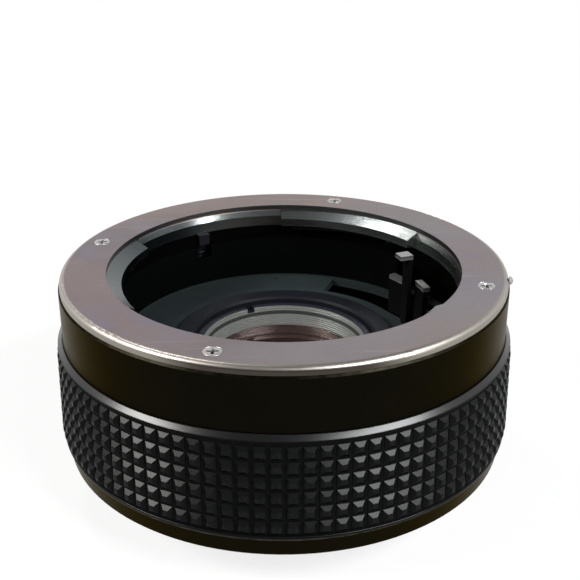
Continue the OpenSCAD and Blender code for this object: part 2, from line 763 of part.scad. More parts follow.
module bulkhead() {
    color(matt_black) difference() {
        turned([
            [hub_r0, cavity_depth], [inner_r - 2 * fit, cavity_depth], [inner_r - 2 * fit, ledge_depth],
            [hub_r, ledge_depth], [hub_r, hub_bottom], [hub_r0, hub_bottom]
        ]);
        sector(window_r0, window_r1, cavity_depth - cut, ledge_depth + cut, window_start,
            window_end - window_start);
        at_lock() bar(rod_r + running_fit, lock_r, 0, cavity_depth - cut, ledge_depth + cut);
        around(small_screw_count, bulkhead_screw_circle, bulkhead_screw_angle, ledge_depth)
            translate([0, 0, -cut]) cylinder(r = small_screw_r + fit, h = bulkhead_t + 2 * cut);
        around(small_screw_count, keeper_screw_circle, lock_angle, hub_bottom)
            translate([0, 0, -eps])
            cylinder(r = small_screw_r + fit, h = small_screw_len - keeper_t + fit);
        for (a = post_angles) bar(spring_pin_r + fit, spring_r, a, cavity_depth - cut, ledge_depth + cut);
    }
}

module bulkhead_screws() {
    color(bright_metal) around(small_screw_count, bulkhead_screw_circle, bulkhead_screw_angle, cavity_depth)
        cheese_screw(small_screw_r, small_head_r, small_head_h, small_screw_len);
}

// Lens cell and glass
module lens_cell() {
    color(black_metal) turned([
        [cell_bore_r, cell_top + cell_chamfer], [cell_bore_r + cell_chamfer, cell_top],
        [cell_r + cell_flange_w - cell_chamfer, cell_top],
        [cell_r + cell_flange_w, cell_top + cell_chamfer], [cell_r + cell_flange_w, cavity_depth],
        [cell_r, cavity_depth], [cell_r, cell_bottom - cell_chamfer], [cell_r - cell_chamfer, cell_bottom],
        [cell_bore_r, cell_bottom], [cell_bore_r, third_glass_top], [clear_r, third_glass_top],
        [clear_r, rib_top], [cell_bore_r, rib_top]
    ]);
}

module spanner_slots(top) {
    for (turn = [0, 180])
        strip(clear_r, cell_bore_r + cut, spanner_w, top - cut, top + spanner_depth, spanner_angle + turn);
}

module front_retaining_ring() {
    color(ring_grey) difference() {
        turned([
            [clear_r + ring_flare, front_ring_top], [glass_r, front_ring_top], [glass_r, front_glass_top],
            [clear_r, front_glass_top], [clear_r, front_glass_top - ring_land]
        ]);
        spanner_slots(front_ring_top);
    }
}

module rear_retaining_ring() {
    foot = cell_bottom - rear_ring_sink;
    color(black_metal) difference() {
        turned([
            [clear_r, rear_ring_top], [glass_r, rear_ring_top], [glass_r, foot],
            [clear_r + rear_ring_chamfer, foot], [clear_r, foot - rear_ring_chamfer]
        ]);
        for (turn = [0, 180]) strip(clear_r - cut, cell_bore_r + cut, spanner_w,
            cell_bottom - spanner_depth, cell_bottom + cut, spanner_angle + turn);
    }
}

// Radius of the sphere whose cap has the given depth over the clear opening
function cap_radius(sag) = (clear_r * clear_r + sag * sag) / (2 * sag);

module glass_blank(top, thickness) {
    translate([0, 0, down(top + thickness - glass_gap)])
        cylinder(r = glass_r, h = thickness - 2 * glass_gap);
}

// Concave or convex cap on one side of a blank; side is 1 for the top face and -1 for the bottom
module cap(face_depth, sag, side, hollow) {
    radius = cap_radius(sag);
    centre = side * (hollow ? 1 : -1) * (radius - sag);
    intersection() {
        translate([0, 0, down(face_depth) + centre]) sphere(r = radius, $fn = cap_facets);
        translate([0, 0, down(face_depth) - 2 * sag]) cylinder(r = clear_r, h = 4 * sag);
    }
}

module hollow_element(top, thickness, sag) {
    difference() {
        glass_blank(top, thickness);
        cap(top + glass_gap, sag, 1, true);
        cap(top + thickness - glass_gap, sag, -1, true);
    }
}

module front_element() {
    color(glass) hollow_element(front_glass_top, front_glass_t, glass_sag);
}

module third_element() {
    color(glass) hollow_element(third_glass_top, third_glass_t, glass_sag);
}

module second_element() {
    color(glass) {
        glass_blank(second_glass_top, second_glass_t);
        cap(second_glass_top + glass_gap, glass_sag, 1, false);
        cap(second_glass_top + second_glass_t - glass_gap, glass_sag, -1, false);
    }
}

module rear_element() {
    color(glass) difference() {
        union() {
            glass_blank(rear_glass_top, rear_glass_t);
            cap(rear_glass_top + rear_glass_t - glass_gap, glass_sag, -1, false);
        }
        cap(rear_glass_top + glass_gap, rear_sag, 1, true);
    }
}

module front_spacer() {
    color(black_metal) ring(clear_r, glass_r, front_spacer_top, second_glass_top);
}

module rear_spacer() {
    color(black_metal) ring(clear_r, glass_r, rear_spacer_top, rear_glass_top);
}

// Coupling rings
post_angles = [stop_ear_angle - coupling_spring_span, meter_ear_angle + coupling_spring_span];

// Ear with an upright pin that pulls one end of a spring
module spring_ear(top, bottom, angle) {
    strip(coupling_r - ear_lap, spring_r + spring_pin_r + ear_margin, ear_w, bottom - ear_t, bottom, angle);
    bar(spring_pin_r, spring_r, angle, top, bottom - eps);
}

// Slot through a coupling ring for a lever that stands in it
module lever_slot(r0, top, bottom, angle) {
    strip(r0 - fit, r0 + lever_t + fit, lever_w + 2 * fit, top - cut, bottom + cut, angle);
}

// Notch in the edge of a coupling ring for the root of a lever outside it
module lever_notch(lap, top, bottom, angle) {
    strip(coupling_r - lap, coupling_r + cut, lever_w + 2 * fit, top - cut, bottom + cut, angle);
}

module lever_root(lap, top, bottom, angle) {
    strip(coupling_r - lap + fit, stem_end, lever_w, top, bottom, angle);
}

module stop_down_ring() {
    color(lever_metal) difference() {
        union() {
            ring(coupling_r0, coupling_r, stop_top, stop_bottom);
            spring_ear(stop_top, stop_bottom, stop_ear_angle);
        }
        lever_slot(stop_lever_r, stop_top, stop_bottom, stop_lever_angle);
        lever_notch(ear_lap, stop_top, stop_bottom, stop_rear_angle);
    }
}

module stop_down_lever() {
    lever_end = stop_lever_r + lever_t;
    color(lever_metal) {
        strip(stop_lever_r, lever_end, lever_w, stop_tip_depth, stop_bottom, stop_lever_angle);
        strip(stop_lever_r - lever_tip, lever_end, lever_w, stop_tip_depth, stop_tip_depth + lever_t,
            stop_lever_angle);
    }
}

module stop_down_arm() {
    color(lever_metal) {
        lever_root(ear_lap, stop_top, stop_bottom, stop_rear_angle);
        strip(stem_r, stem_end, lever_w, stop_top, foot_depth, stop_rear_angle);
        strip(rear_lever_r0, stem_end, lever_w, foot_depth - lever_t, foot_depth, stop_rear_angle);
        strip(rear_lever_r0, rear_lever_r1, lever_w, foot_depth - lever_t, face_z - lever_ground_gap,
            stop_rear_angle);
    }
}

module meter_ring() {
    color(lever_metal) difference() {
        union() {
            ring(coupling_r0, coupling_r, meter_top, meter_bottom);
            spring_ear(meter_top, meter_bottom, meter_ear_angle);
        }
        for (angle = meter_prong_angles) lever_notch(prong_lap, meter_top, meter_bottom, angle);
        lever_slot(rear_lever_r0, meter_top, meter_bottom, meter_rear_angle);
    }
}

module meter_prongs() {
    color(lever_metal) for (i = [0, 1]) {
        lever_root(prong_lap, meter_top, meter_bottom, meter_prong_angles[i]);
        strip(stem_r, stem_end, prong_w, meter_tip_depths[i], meter_bottom, meter_prong_angles[i]);
        strip(stem_r, stem_end + prong_tip, prong_w, meter_tip_depths[i],
            meter_tip_depths[i] + lever_t, meter_prong_angles[i]);
    }
}

module meter_arm() {
    color(lever_metal)
        strip(rear_lever_r0, rear_lever_r1, lever_w, meter_top, face_z - lever_ground_gap, meter_rear_angle);
}

module slip_washer() {
    color(brass) ring(coupling_r0, coupling_r - washer_inset, washer_top, washer_top + washer_t);
}

module keeper_ring() {
    color(bright_metal) difference() {
        ring(hub_r0, keeper_r, hub_bottom, keeper_bottom);
        around(small_screw_count, keeper_screw_circle, lock_angle, keeper_bottom)
            translate([0, 0, -cut]) cylinder(r = small_screw_r + fit, h = keeper_t + 2 * cut);
    }
}

module keeper_screws() {
    color(bright_metal) around(small_screw_count, keeper_screw_circle, lock_angle, keeper_bottom)
        rotate([180, 0, 0]) cheese_screw(small_screw_r, small_head_r, small_head_h, small_screw_len);
}

module spring_post(angle, bottom) {
    bar(spring_pin_r, spring_r, angle, cavity_depth + post_recess, ledge_depth + eps);
    bar(post_r, spring_r, angle, ledge_depth, bottom);
}

module spring_posts() {
    color(bright_metal) {
        spring_post(post_angles[0], stop_bottom);
        spring_post(post_angles[1], meter_bottom);
    }
}

// Extension springs lie along the chord from the ring's pin to the fixed post
spring_chord = 2 * spring_r * sin(coupling_spring_span / 2);
spring_length = spring_chord - spring_pin_r - post_r - 2 * fit;
spring_leg = 1;
spring_ramp = 0.5;
coupling_coil = coil_path(coupling_coil_r, spring_length, coupling_turns, spring_leg, spring_ramp);
echo(coupling_spring_least_gap = least_gap(coupling_coil, coupling_wire_r));

module coupling_spring(pin_angle, side, top, bottom) {
    color(bright_metal) rotate([0, 0, pin_angle]) translate([spring_r, 0, down((top + bottom) / 2)])
        rotate([0, 0, side * coupling_spring_span / 2]) rotate([-side * 90, 0, 0])
        translate([0, 0, spring_pin_r + fit])
        wire(coupling_coil, coil_outward(coupling_turns), coupling_wire_r);
}

module stop_down_spring() {
    coupling_spring(stop_ear_angle, -1, stop_top, stop_bottom);
}

module meter_spring() {
    coupling_spring(meter_ear_angle, 1, meter_top, meter_bottom);
}

// Camera side
module rear_mount_ring() {
    color(mount_metal) difference() {
        union() {
            turned([
                [rear_bore_r, rim_bottom], [rear_r, rim_bottom], [rear_r, flange_gap - ring_chamfer],
                [rear_r - ring_chamfer, flange_gap], [male_r, flange_gap],
                [male_r, face_z - ring_chamfer], [male_r - ring_chamfer, face_z], [rear_bore_r, face_z]
            ]);
            for (i = [0 : tab_count - 1])
                sector(male_r - eps, lug_r, flange_gap + lug_drop, flange_gap + lug_drop + lug_t,
                    lug_start + i * 360 / tab_count, lug_span);
        }
        around(mount_screw_count, rear_screw_circle, mount_screw_start, flange_gap)
            rotate([180, 0, 0]) countersunk_hole(mount_screw_r, mount_screw_head_r, rear_step + cut);
        around(small_screw_count, baffle_screw_circle, baffle_screw_angle, rim_bottom)
            translate([0, 0, -rear_step - cut]) cylinder(r = baffle_screw_r + fit, h = rear_step + 2 * cut);
    }
}

module rear_mount_screws() {
    color(bright_metal) around(mount_screw_count, rear_screw_circle, mount_screw_start, flange_gap)
        rotate([180, 0, 0]) countersunk_screw(mount_screw_r, mount_screw_head_r, rear_screw_len);
}

module rear_baffle() {
    top = rim_bottom - baffle_t;
    color(matt_black) difference() {
        ring(baffle_r0, baffle_r1, top, rim_bottom);
        sector(rear_lever_r0 - pass_gap, rear_lever_r1 + pass_gap, top - cut, rim_bottom + cut,
            stop_rear_angle - slot_margin, stop_turn + 2 * slot_margin);
        sector(rear_lever_r0 - pass_gap, rear_lever_r1 + pass_gap, top - cut, rim_bottom + cut,
            meter_rear_angle - meter_turn - slot_margin, meter_turn + 2 * slot_margin);
        around(small_screw_count, baffle_screw_circle, baffle_screw_angle, rim_bottom)
            translate([0, 0, -cut]) cylinder(r = baffle_screw_r + fit, h = baffle_t + 2 * cut);
    }
}

module rear_baffle_screws() {
    color(bright_metal)
        around(small_screw_count, baffle_screw_circle, baffle_screw_angle, rim_bottom - baffle_t)
        cheese_screw(baffle_screw_r, baffle_head_r, baffle_head_h, baffle_screw_len);
}

// Lens lock
module lock_latch() {
    color(bright_metal) at_lock() difference() {
        union() {
            bar(rod_r, lock_r, 0, nose_top, rod_bottom);
            bar(disc_r, lock_r, 0, arm_bottom - disc_t, arm_bottom);
            strip(throat_r - nose_reach, lock_r, nose_w, nose_top, nose_top + nose_h, 0);
            strip(lock_r, arm_end, arm_w, arm_top, arm_bottom, 0);
        }
        translate([arm_end, 0, down(slide_mid)]) rotate([0, -90, 0])
            cylinder(r = release_screw_r + fit, h = release_hole);
    }
}

lock_length = cavity_depth - arm_bottom - 2 * fit;
lock_coil = coil_path(lock_coil_r, lock_length, lock_turns, 2 * lock_wire_r, 0);
echo(lock_spring_least_gap = least_gap(lock_coil, lock_wire_r));

module lock_spring() {
    color(bright_metal) at_lock() translate([lock_r, 0, down(cavity_depth) + fit])
        wire(lock_coil, coil_outward(lock_turns), lock_wire_r);
}

// Thumb pad with ribs across its travel
module release_slide() {
    pitch = slide_h / slide_ribs;
    top = slide_mid - slide_h / 2;
    outer = slide_r + slide_t;
    ribs = [for (i = [0 : slide_ribs - 1]) each [
        [outer - rib_depth, top + i * pitch], [outer, top + i * pitch + rib_slope],
        [outer, top + (i + 1) * pitch - rib_slope]]];
    color(black_metal) at_lock() difference() {
        union() {
            rotate([0, 0, -slide_span / 2]) rotate_extrude(angle = slide_span)
                polygon([for (p = concat([[slide_r, top]], ribs,
                    [[outer - rib_depth, top + slide_h], [slide_r, top + slide_h]])) [p[0], down(p[1])]]);
            strip(arm_end + fit, slide_r + slide_lap, arm_w - 2 * fit, arm_top + fit, arm_bottom - fit, 0);
        }
        translate([outer - release_sink, 0, down(slide_mid)]) rotate([0, 90, 0])
            cylinder(r = release_head_r + fit, h = release_sink + cut);
        translate([arm_end - cut, 0, down(slide_mid)]) rotate([0, 90, 0])
            cylinder(r = release_screw_r + fit, h = outer - arm_end + 2 * cut);
    }
}

module release_screw() {
    color(bright_metal) at_lock() translate([slide_r + slide_t - release_sink, 0, down(slide_mid)])
        rotate([0, 90, 0])
        cheese_screw(release_screw_r, release_head_r, release_head_h, slide_t + release_thread);
}

front_mount_ring();
front_mount_screws();
index_bead();
bayonet_leaf_springs();
leaf_spring_rivets();
front_barrel();
main_barrel();
grip_sleeve();
baffle_tube();
bulkhead();
bulkhead_screws();
lens_cell();
front_retaining_ring();
front_element();
front_spacer();
second_element();
third_element();
rear_spacer();
rear_element();
rear_retaining_ring();
stop_down_ring();
stop_down_lever();
stop_down_arm();
slip_washer();
meter_ring();
meter_prongs();
meter_arm();
keeper_ring();
keeper_screws();
spring_posts();
stop_down_spring();
meter_spring();
rear_mount_ring();
rear_mount_screws();
rear_baffle();
rear_baffle_screws();
lock_latch();
lock_spring();
release_slide();
release_screw();
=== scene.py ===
import math

import bmesh
import bpy
from mathutils import Matrix, Vector


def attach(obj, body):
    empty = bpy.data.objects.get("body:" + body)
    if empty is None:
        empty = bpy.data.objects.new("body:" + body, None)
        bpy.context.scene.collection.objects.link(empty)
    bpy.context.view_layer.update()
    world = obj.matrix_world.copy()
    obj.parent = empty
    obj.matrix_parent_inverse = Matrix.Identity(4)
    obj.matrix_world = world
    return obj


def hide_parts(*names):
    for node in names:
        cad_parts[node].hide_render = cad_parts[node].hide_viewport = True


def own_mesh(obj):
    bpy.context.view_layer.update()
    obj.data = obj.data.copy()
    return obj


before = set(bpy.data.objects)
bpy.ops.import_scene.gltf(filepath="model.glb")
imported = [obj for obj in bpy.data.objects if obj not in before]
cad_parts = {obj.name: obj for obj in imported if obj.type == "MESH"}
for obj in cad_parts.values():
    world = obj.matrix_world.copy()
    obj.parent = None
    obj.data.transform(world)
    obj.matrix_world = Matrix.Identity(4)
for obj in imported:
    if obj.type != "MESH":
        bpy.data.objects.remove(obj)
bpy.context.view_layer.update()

# Lengths are written in millimetres and multiplied by MM where a mesh or an object takes them.
# The camera, the lamps and the floor are written in metres.
MM = 0.001

# Sizes of the CAD solids that finishes and shapes go by: radii from the optical axis, angles round it in
# degrees, and depths below the lens-side mounting face.
FACE_Z = 32.0
RING_R, REGISTER_R, TAB_DEPTH = 31.0, 24.7, 0.7
BAND_R, BAND_TOP, BARREL_BORE_R = 31.2, 1.1, 27.6
RIM_R, RIM_TOP, RIM_BOTTOM = 31.95, 23.02, 25.8
REAR_FACE = 26.8
FLOOR = 12.0
COUPLING_R = 20.6
CELL_FLANGE_R = 16.0
CLEAR_R, MOUTH_R = 10.9, 11.8
LOCK_R, LOCK_ANGLE = 26.0, 122.5
MOUNT_SCREW_START = -17.2

# Sizes of the rubber sleeve
SLEEVE_R, SLEEVE_TOP, SLEEVE_BOTTOM = 30.25, 8.75, 22.97
LIP_BOTTOM = 9.36
GRIP_COLUMNS, GRIP_ROWS = 100, 6
GRIP_ROWS_TOP, GRIP_ROW_H = 9.95, 2.07
GRIP_ROWS_BOTTOM = GRIP_ROWS_TOP + GRIP_ROWS * GRIP_ROW_H
GRIP_PEAK, GRIP_FLARE, GRIP_TOOTH = 32.15, 0.3, 0.6
GROOVE_W = 0.24

WHITE = (1.0, 1.0, 1.0)


def down(depth):
    """Height of a point at a given depth below the lens-side mounting face."""
    return FACE_Z - depth


# Node trees: materials, the world and the geometry trees all use these two classes.
class Value:
    """A socket in a node tree. Arithmetic on it adds Math nodes to the tree."""

    def __init__(self, graph, socket):
        self.graph = graph
        self.socket = socket

    def __add__(self, other):
        return self.graph.maths("ADD", self, other)

    def __radd__(self, other):
        return self.graph.maths("ADD", other, self)

    def __sub__(self, other):
        return self.graph.maths("SUBTRACT", self, other)

    def __rsub__(self, other):
        return self.graph.maths("SUBTRACT", other, self)

    def __mul__(self, other):
        return self.graph.maths("MULTIPLY", self, other)

    def __rmul__(self, other):
        return self.graph.maths("MULTIPLY", other, self)

    def __truediv__(self, other):
        return self.graph.maths("DIVIDE", self, other)

    def __rtruediv__(self, other):
        return self.graph.maths("DIVIDE", other, self)


class Graph:
    """A node tree that is being written."""

    def __init__(self, tree):
        self.tree = tree

    def node(self, kind, settings=None, sockets=None, output=0):
        """Adds a node: its settings first, then the value or link of each socket, or a list of links."""
        made = self.tree.nodes.new(kind)
        for name, setting in (settings or {}).items():
            setattr(made, name, setting)
        for name, given in (sockets or {}).items():
            for value in given if isinstance(given, list) else [given]:
                if isinstance(value, Value):
                    self.tree.links.new(value.socket, made.inputs[name])
                else:
                    made.inputs[name].default_value = value
        return Value(self, made.outputs[output]) if made.outputs else None

    def maths(self, operation, first, second=0.0, clamp=False):
        """Adds a Math node."""
        return self.node(
            "ShaderNodeMath", {"operation": operation, "use_clamp": clamp}, {0: first, 1: second}
        )

    def clamped(self, value):
        """The value held between 0 and 1."""
        return self.maths("ADD", value, 0.0, clamp=True)

    def step(self, value, low, high):
        """Smooth rise from 0 at low to 1 at high."""
        return self.node(
            "ShaderNodeMapRange",
            {"interpolation_type": "SMOOTHSTEP"},
            {"Value": value, "From Min": low, "From Max": high},
        )

    def vector(self, x, y, z):
        """A vector from three values."""
        return self.node("ShaderNodeCombineXYZ", None, {0: x, 1: y, 2: z})

    def part(self, vector, axis):
        """One of a vector's three values, named X, Y or Z."""
        return self.node("ShaderNodeSeparateXYZ", None, {0: vector}, axis)


class Finish(Graph):
    """A procedural material. Patterns are laid out in millimetres of the object's own frame."""

    def __init__(self, name):
        self.material = bpy.data.materials.new(name)
        self.material.use_nodes = True
        super().__init__(self.material.node_tree)
        self.tree.nodes.clear()
        metres = self.node("ShaderNodeTexCoord", output="Object")
        self.point = self.node(
            "ShaderNodeVectorMath", {"operation": "SCALE"}, {0: metres, "Scale": 1.0 / MM}
        )
        self.x = self.part(self.point, "X")
        self.y = self.part(self.point, "Y")
        self.z = self.part(self.point, "Z")
        flat = self.vector(self.x, self.y, 0.0)
        self.radius = self.node("ShaderNodeVectorMath", {"operation": "LENGTH"}, {0: flat}, "Value")

    def band(self, value, low, high, soft):
        """1 between low and high, fading to 0 over the soft width on both sides."""
        return self.step(value, low - soft, low) * (1.0 - self.step(value, high, high + soft))

    def noise(self, scale, detail=3.0, roughness=0.55, point=None):
        """Cloudy noise about 0.5, with scale in clouds for each millimetre."""
        return self.node(
            "ShaderNodeTexNoise",
            None,
            {
                "Vector": self.point if point is None else point,
                "Scale": scale,
                "Detail": detail,
                "Roughness": roughness,
            },
        )

    def line_noise(self, along, scale, detail=2.0):
        """Noise that changes along one value only, for turned and brushed lines."""
        return self.node(
            "ShaderNodeTexNoise",
            {"noise_dimensions": "1D"},
            {"W": along, "Scale": scale, "Detail": detail},
        )

    def scratches(self, turn, stretch, scale, low, high):
        """Thin straight marks that all run one way, turned by an angle in radians."""
        laid = self.node(
            "ShaderNodeMapping",
            None,
            {"Vector": self.point, "Rotation": (0.0, 0.0, turn), "Scale": (1.0 / stretch, 1.0, 1.0)},
        )
        return self.step(self.noise(scale, detail=2.0, roughness=0.5, point=laid), low, high)

    def varied(self, middle, *swings):
        """A value that swings about its middle by each pair of noise and spread."""
        for noise, spread in swings:
            middle = middle + (noise - 0.5) * spread
        return middle

    def colour_mix(self, factor, first, second):
        """The first colour where the factor is 0, and the second where it is 1."""
        return self.node(
            "ShaderNodeMix",
            {"data_type": "RGBA"},
            {0: factor, 6: self.rgba(first), 7: self.rgba(second)},
            2,
        )

    def painted(self, ground, *coats):
        """Lays coats, each a mask and a colour, over a ground colour, one after the other."""
        for mask, colour in coats:
            ground = self.colour_mix(mask, ground, colour)
        return ground

    @staticmethod
    def rgba(colour):
        """A written colour with its alpha, or a colour socket as it is."""
        return colour if isinstance(colour, Value) else (*colour, 1.0)

    def bump(self, height, distance, strength):
        """Normal of a relief that is distance millimetres high."""
        return self.node(
            "ShaderNodeBump", None, {"Height": height, "Distance": distance * MM, "Strength": strength}
        )

    def principled(self, sockets):
        """Adds a Principled BSDF."""
        return self.node("ShaderNodeBsdfPrincipled", None, sockets)

    def done(self, shader):
        """Ends the tree in a shader and returns the material."""
        self.node("ShaderNodeOutputMaterial", None, {"Surface": shader})
        return self.material

    def surface(self, sockets):
        """Ends the tree in one Principled BSDF and returns the material."""
        return self.done(self.principled(sockets))


def mount_chrome():
    """Satin chrome of the bayonet rings: turned lines, tinted clouds and scratches, with painted light: the
    face tinted by side as painted reflection, painted shade on the register wall, a throat painted dark on
    the left and pale on the right, a painted highlight on the rounded edge, and an outer wall painted dark
    at the front and bright at the sides.
    """
    f = Finish("mount_chrome")
    cloud = f.noise(scale=0.09, detail=2.0)
    fine = f.noise(scale=1.6, detail=4.0)
    turned = f.line_noise(f.radius + f.z * 0.7, scale=9.0)
    marks = f.scratches(turn=0.7, stretch=30.0, scale=1.4, low=0.66, high=0.74)
    marks = marks + f.scratches(turn=-0.4, stretch=26.0, scale=1.1, low=0.67, high=0.74)

    # Painted reflection: the face is lighter lilac on the right, pinker at the front and tan at the back;
    # the right-side mask also follows random clouds.
    right_side = f.step(f.x * 0.012 - f.y * 0.004 + cloud, 0.2, 0.85)
    front_side = f.step(f.x * 0.5 - f.y, 12.0, 30.0)
    back_side = f.step(f.y, 4.0, 26.0)
    rose_cloud = f.step(f.noise(scale=0.075), 0.44, 0.6)
    violet_cloud = f.step(f.noise(scale=0.11), 0.5, 0.64)
    plum, lilac = (0.165, 0.135, 0.150), (0.232, 0.230, 0.258)
    rose, violet, pink = (0.285, 0.198, 0.190), (0.205, 0.192, 0.262), (0.360, 0.300, 0.295)
    umber, tan, scratched = (0.150, 0.130, 0.132), (0.255, 0.185, 0.135), (0.40, 0.37, 0.35)
    face = f.painted(
        f.colour_mix(right_side, plum, lilac),
        (rose_cloud * 0.55, rose),
        (violet_cloud * 0.5, violet),
        (front_side * 0.5, pink),
        (turned * 0.25 + fine * 0.2, umber),
        (back_side * 0.4, tan),
        (marks * 0.35, scratched),
    )

    above_floor = f.step(f.z, down(FLOOR), down(FLOOR) + 2.0)
    throat = (1.0 - f.step(f.radius, REGISTER_R - 0.1, REGISTER_R - 0.02)) * above_floor
    # Painted shade on the register wall just below the face.
    register = f.band(f.radius, REGISTER_R - 0.04, REGISTER_R + 0.01, soft=0.03)
    register = register * f.band(f.z, down(TAB_DEPTH), down(0.03), soft=0.03)
    # Painted highlight: the rounded outer edge is coloured paler than the face.
    rounding = f.step(f.radius, RING_R - 0.8, RING_R - 0.5)
    outside = f.step(f.radius, RING_R - 0.1, RING_R - 0.02)
    # Painted shade and painted highlight in the throat: dark on the left, pale on the right where a lamp
    # highlight falls.
    bore_painted_shade, middle_bore, bore_painted_highlight = (0.10, 0.115, 0.12), (0.27, 0.29, 0.29), (0.60, 0.63, 0.60)
    bore = f.painted(
        bore_painted_shade, (f.step(f.x, -17.0, -9.0), middle_bore), (f.step(f.x, 15.0, 20.0), bore_painted_highlight)
    )
    # Painted shade and painted highlight on the outer wall: dark at the front, bronze at the sides where the
    # lamps fall.
    beside = f.step(f.maths("ABSOLUTE", f.x), 9.0, 17.0)
    outer_wall_painted_shade, outer_wall_painted_highlight = (0.06, 0.051, 0.043), (0.27, 0.25, 0.215)
    register_painted_shade, edge_painted_highlight = (0.15, 0.15, 0.15), (0.36, 0.33, 0.30)
    colour = f.painted(
        face,
        (throat, bore),
        (register, register_painted_shade),
        (rounding, edge_painted_highlight),
        (outside, f.colour_mix(beside, outer_wall_painted_shade, outer_wall_painted_highlight)),
    )
    rough = f.varied(0.34, (turned, 0.14), (fine, 0.08)) - marks * 0.05
    return f.surface(
        {
            "Base Color": colour,
            "Metallic": 1.0,
            "Roughness": rough + rounding * 0.04 - throat * 0.12,
            "Normal": f.bump(turned * 0.7 + fine * 0.3 - marks * 0.5, distance=0.012, strength=0.6),
        }
    )


def screw_steel():
    """Bright plated steel with a fine grain and painted shade in the recesses."""
    f = Finish("screw_steel")
    recess = f.node("ShaderNodeAttribute", {"attribute_name": "recess"}, None, "Fac")
    grain = f.noise(scale=3.5, detail=4.0)
    fine = f.noise(scale=11.0, detail=2.0)
    bright, grey, shadow = (0.54, 0.535, 0.52), (0.38, 0.375, 0.37), (0.03, 0.03, 0.03)
    return f.surface(
        {
            "Base Color": f.painted(bright, (grain, grey), (recess, shadow)),
            "Metallic": 1.0,
            "Roughness": 0.24 + grain * 0.16 + recess * 0.3,
            "Normal": f.bump(fine, distance=0.006, strength=0.5),
        }
    )


def bead_enamel():
    """Grey enamel of the index bead, mottled and worn."""
    f = Finish("bead_enamel")
    mottle = f.noise(scale=4.0)
    worn = f.step(f.noise(scale=2.2, detail=4.0), 0.6, 0.75)
    pale, dark, rubbed = (0.22, 0.22, 0.215), (0.16, 0.16, 0.155), (0.30, 0.295, 0.28)
    return f.surface(
        {
            "Base Color": f.painted(pale, (mottle, dark), (worn, rubbed)),
            "Roughness": 0.3 + mottle * 0.2,
            "Normal": f.bump(mottle, distance=0.01, strength=0.4),
        }
    )


def black_barrel():
    """Black lacquered metal with a brown cast, matt inside, and edges rubbed pale."""
    f = Finish("black_barrel")
    cloud = f.noise(scale=0.16)
    grain = f.noise(scale=5.5, detail=4.0, roughness=0.65)
    turned = f.line_noise(f.z + f.radius * 0.6, scale=7.0)
    inside = 1.0 - f.step(f.radius, BARREL_BORE_R - 0.6, BARREL_BORE_R + 0.4)
    band_top, rim_top, rim_bottom = down(BAND_TOP), down(RIM_TOP), down(RIM_BOTTOM)
    top_edge = f.band(f.z, band_top - 0.28, band_top - 0.04, soft=0.05)
    top_edge = top_edge * f.step(f.radius, BAND_R - 0.45, BAND_R - 0.3)
    rim_edge = f.band(f.z, rim_top - 0.12, rim_top, soft=0.03)
    rim_edge = rim_edge * f.step(f.radius, RIM_R - 0.25, RIM_R - 0.1)
    foot_edge = f.band(f.z, rim_bottom + 0.02, rim_bottom + 0.28, soft=0.05)
    foot_edge = foot_edge * f.step(f.radius, RIM_R - 0.85, RIM_R - 0.65)
    patches = f.step(f.noise(scale=0.9, detail=4.0), 0.3, 0.7)
    worn = f.clamped((top_edge * 0.15 + foot_edge + rim_edge) * patches)
    deep, brown = (0.004, 0.0035, 0.002), (0.006, 0.0052, 0.003)
    rubbed, inner_black = (0.06, 0.056, 0.045), (0.0025, 0.0025, 0.0025)
    return f.surface(
        {
            "Base Color": f.painted(deep, (cloud, brown), (worn, rubbed), (inside, inner_black)),
            "Metallic": 1.0,
            "Roughness": f.varied(0.34, (grain, 0.16), (cloud, 0.1)) + inside * 0.3,
            "Specular Tint": (0.60, 0.565, 0.50, 1.0),
            "Normal": f.bump(grain * 0.7 + turned * 0.3, distance=0.006, strength=0.5),
        }
    )


def grip_rubber():
    """Black rubber: fine moulded grain, rubbed tips, painted shade in the grooves, and a polish on the
    facets that look up.
    """
    f = Finish("grip_rubber")
    cloud = f.noise(scale=0.2)
    grain = f.noise(scale=9.0, detail=5.0, roughness=0.7)
    down_the_rows = f.clamped((down(GRIP_ROWS_TOP) - f.z) / (GRIP_ROWS * GRIP_ROW_H))
    below_peak = GRIP_PEAK + GRIP_FLARE * down_the_rows - f.radius
    among_rows = f.band(f.z, down(GRIP_ROWS_BOTTOM), down(LIP_BOTTOM + 0.02), soft=0.05)
    # Painted shade: the groove bottoms between the pyramids are coloured darker, and are also made rougher.
    painted_dark_band = f.step(below_peak, GRIP_TOOTH - 0.12, GRIP_TOOTH - 0.02) * among_rows
    tips = (1.0 - f.step(below_peak, 0.0, 0.2)) * f.step(f.noise(scale=1.1, detail=4.0), 0.35, 0.7)
    black, charcoal = (0.0016, 0.002, 0.0019), (0.003, 0.0034, 0.0032)
    rubbed, painted_dark_colour = (0.005, 0.0056, 0.0052), (0.002, 0.002, 0.002)
    stud_polish, lip_polish = 0.16, 0.75
    upward = f.part(f.node("ShaderNodeNewGeometry", output="Normal"), "Z")
    lip = f.step(f.z, down(LIP_BOTTOM - 0.06), down(LIP_BOTTOM - 0.31))
    polish = f.step(upward, 0.35, 0.6) * (stud_polish + lip * (lip_polish - stud_polish))
    return f.surface(
        {
            "Base Color": f.painted(black, (cloud, charcoal), (tips, rubbed), (painted_dark_band, painted_dark_colour)),
            "Roughness": f.varied(0.29, (grain, 0.12)) + painted_dark_band * 0.3,
            "Specular IOR Level": 0.05,
            "Coat Weight": polish,
            "Coat Roughness": 0.28,
            "Normal": f.bump(grain, distance=0.02, strength=0.2),
        }
    )


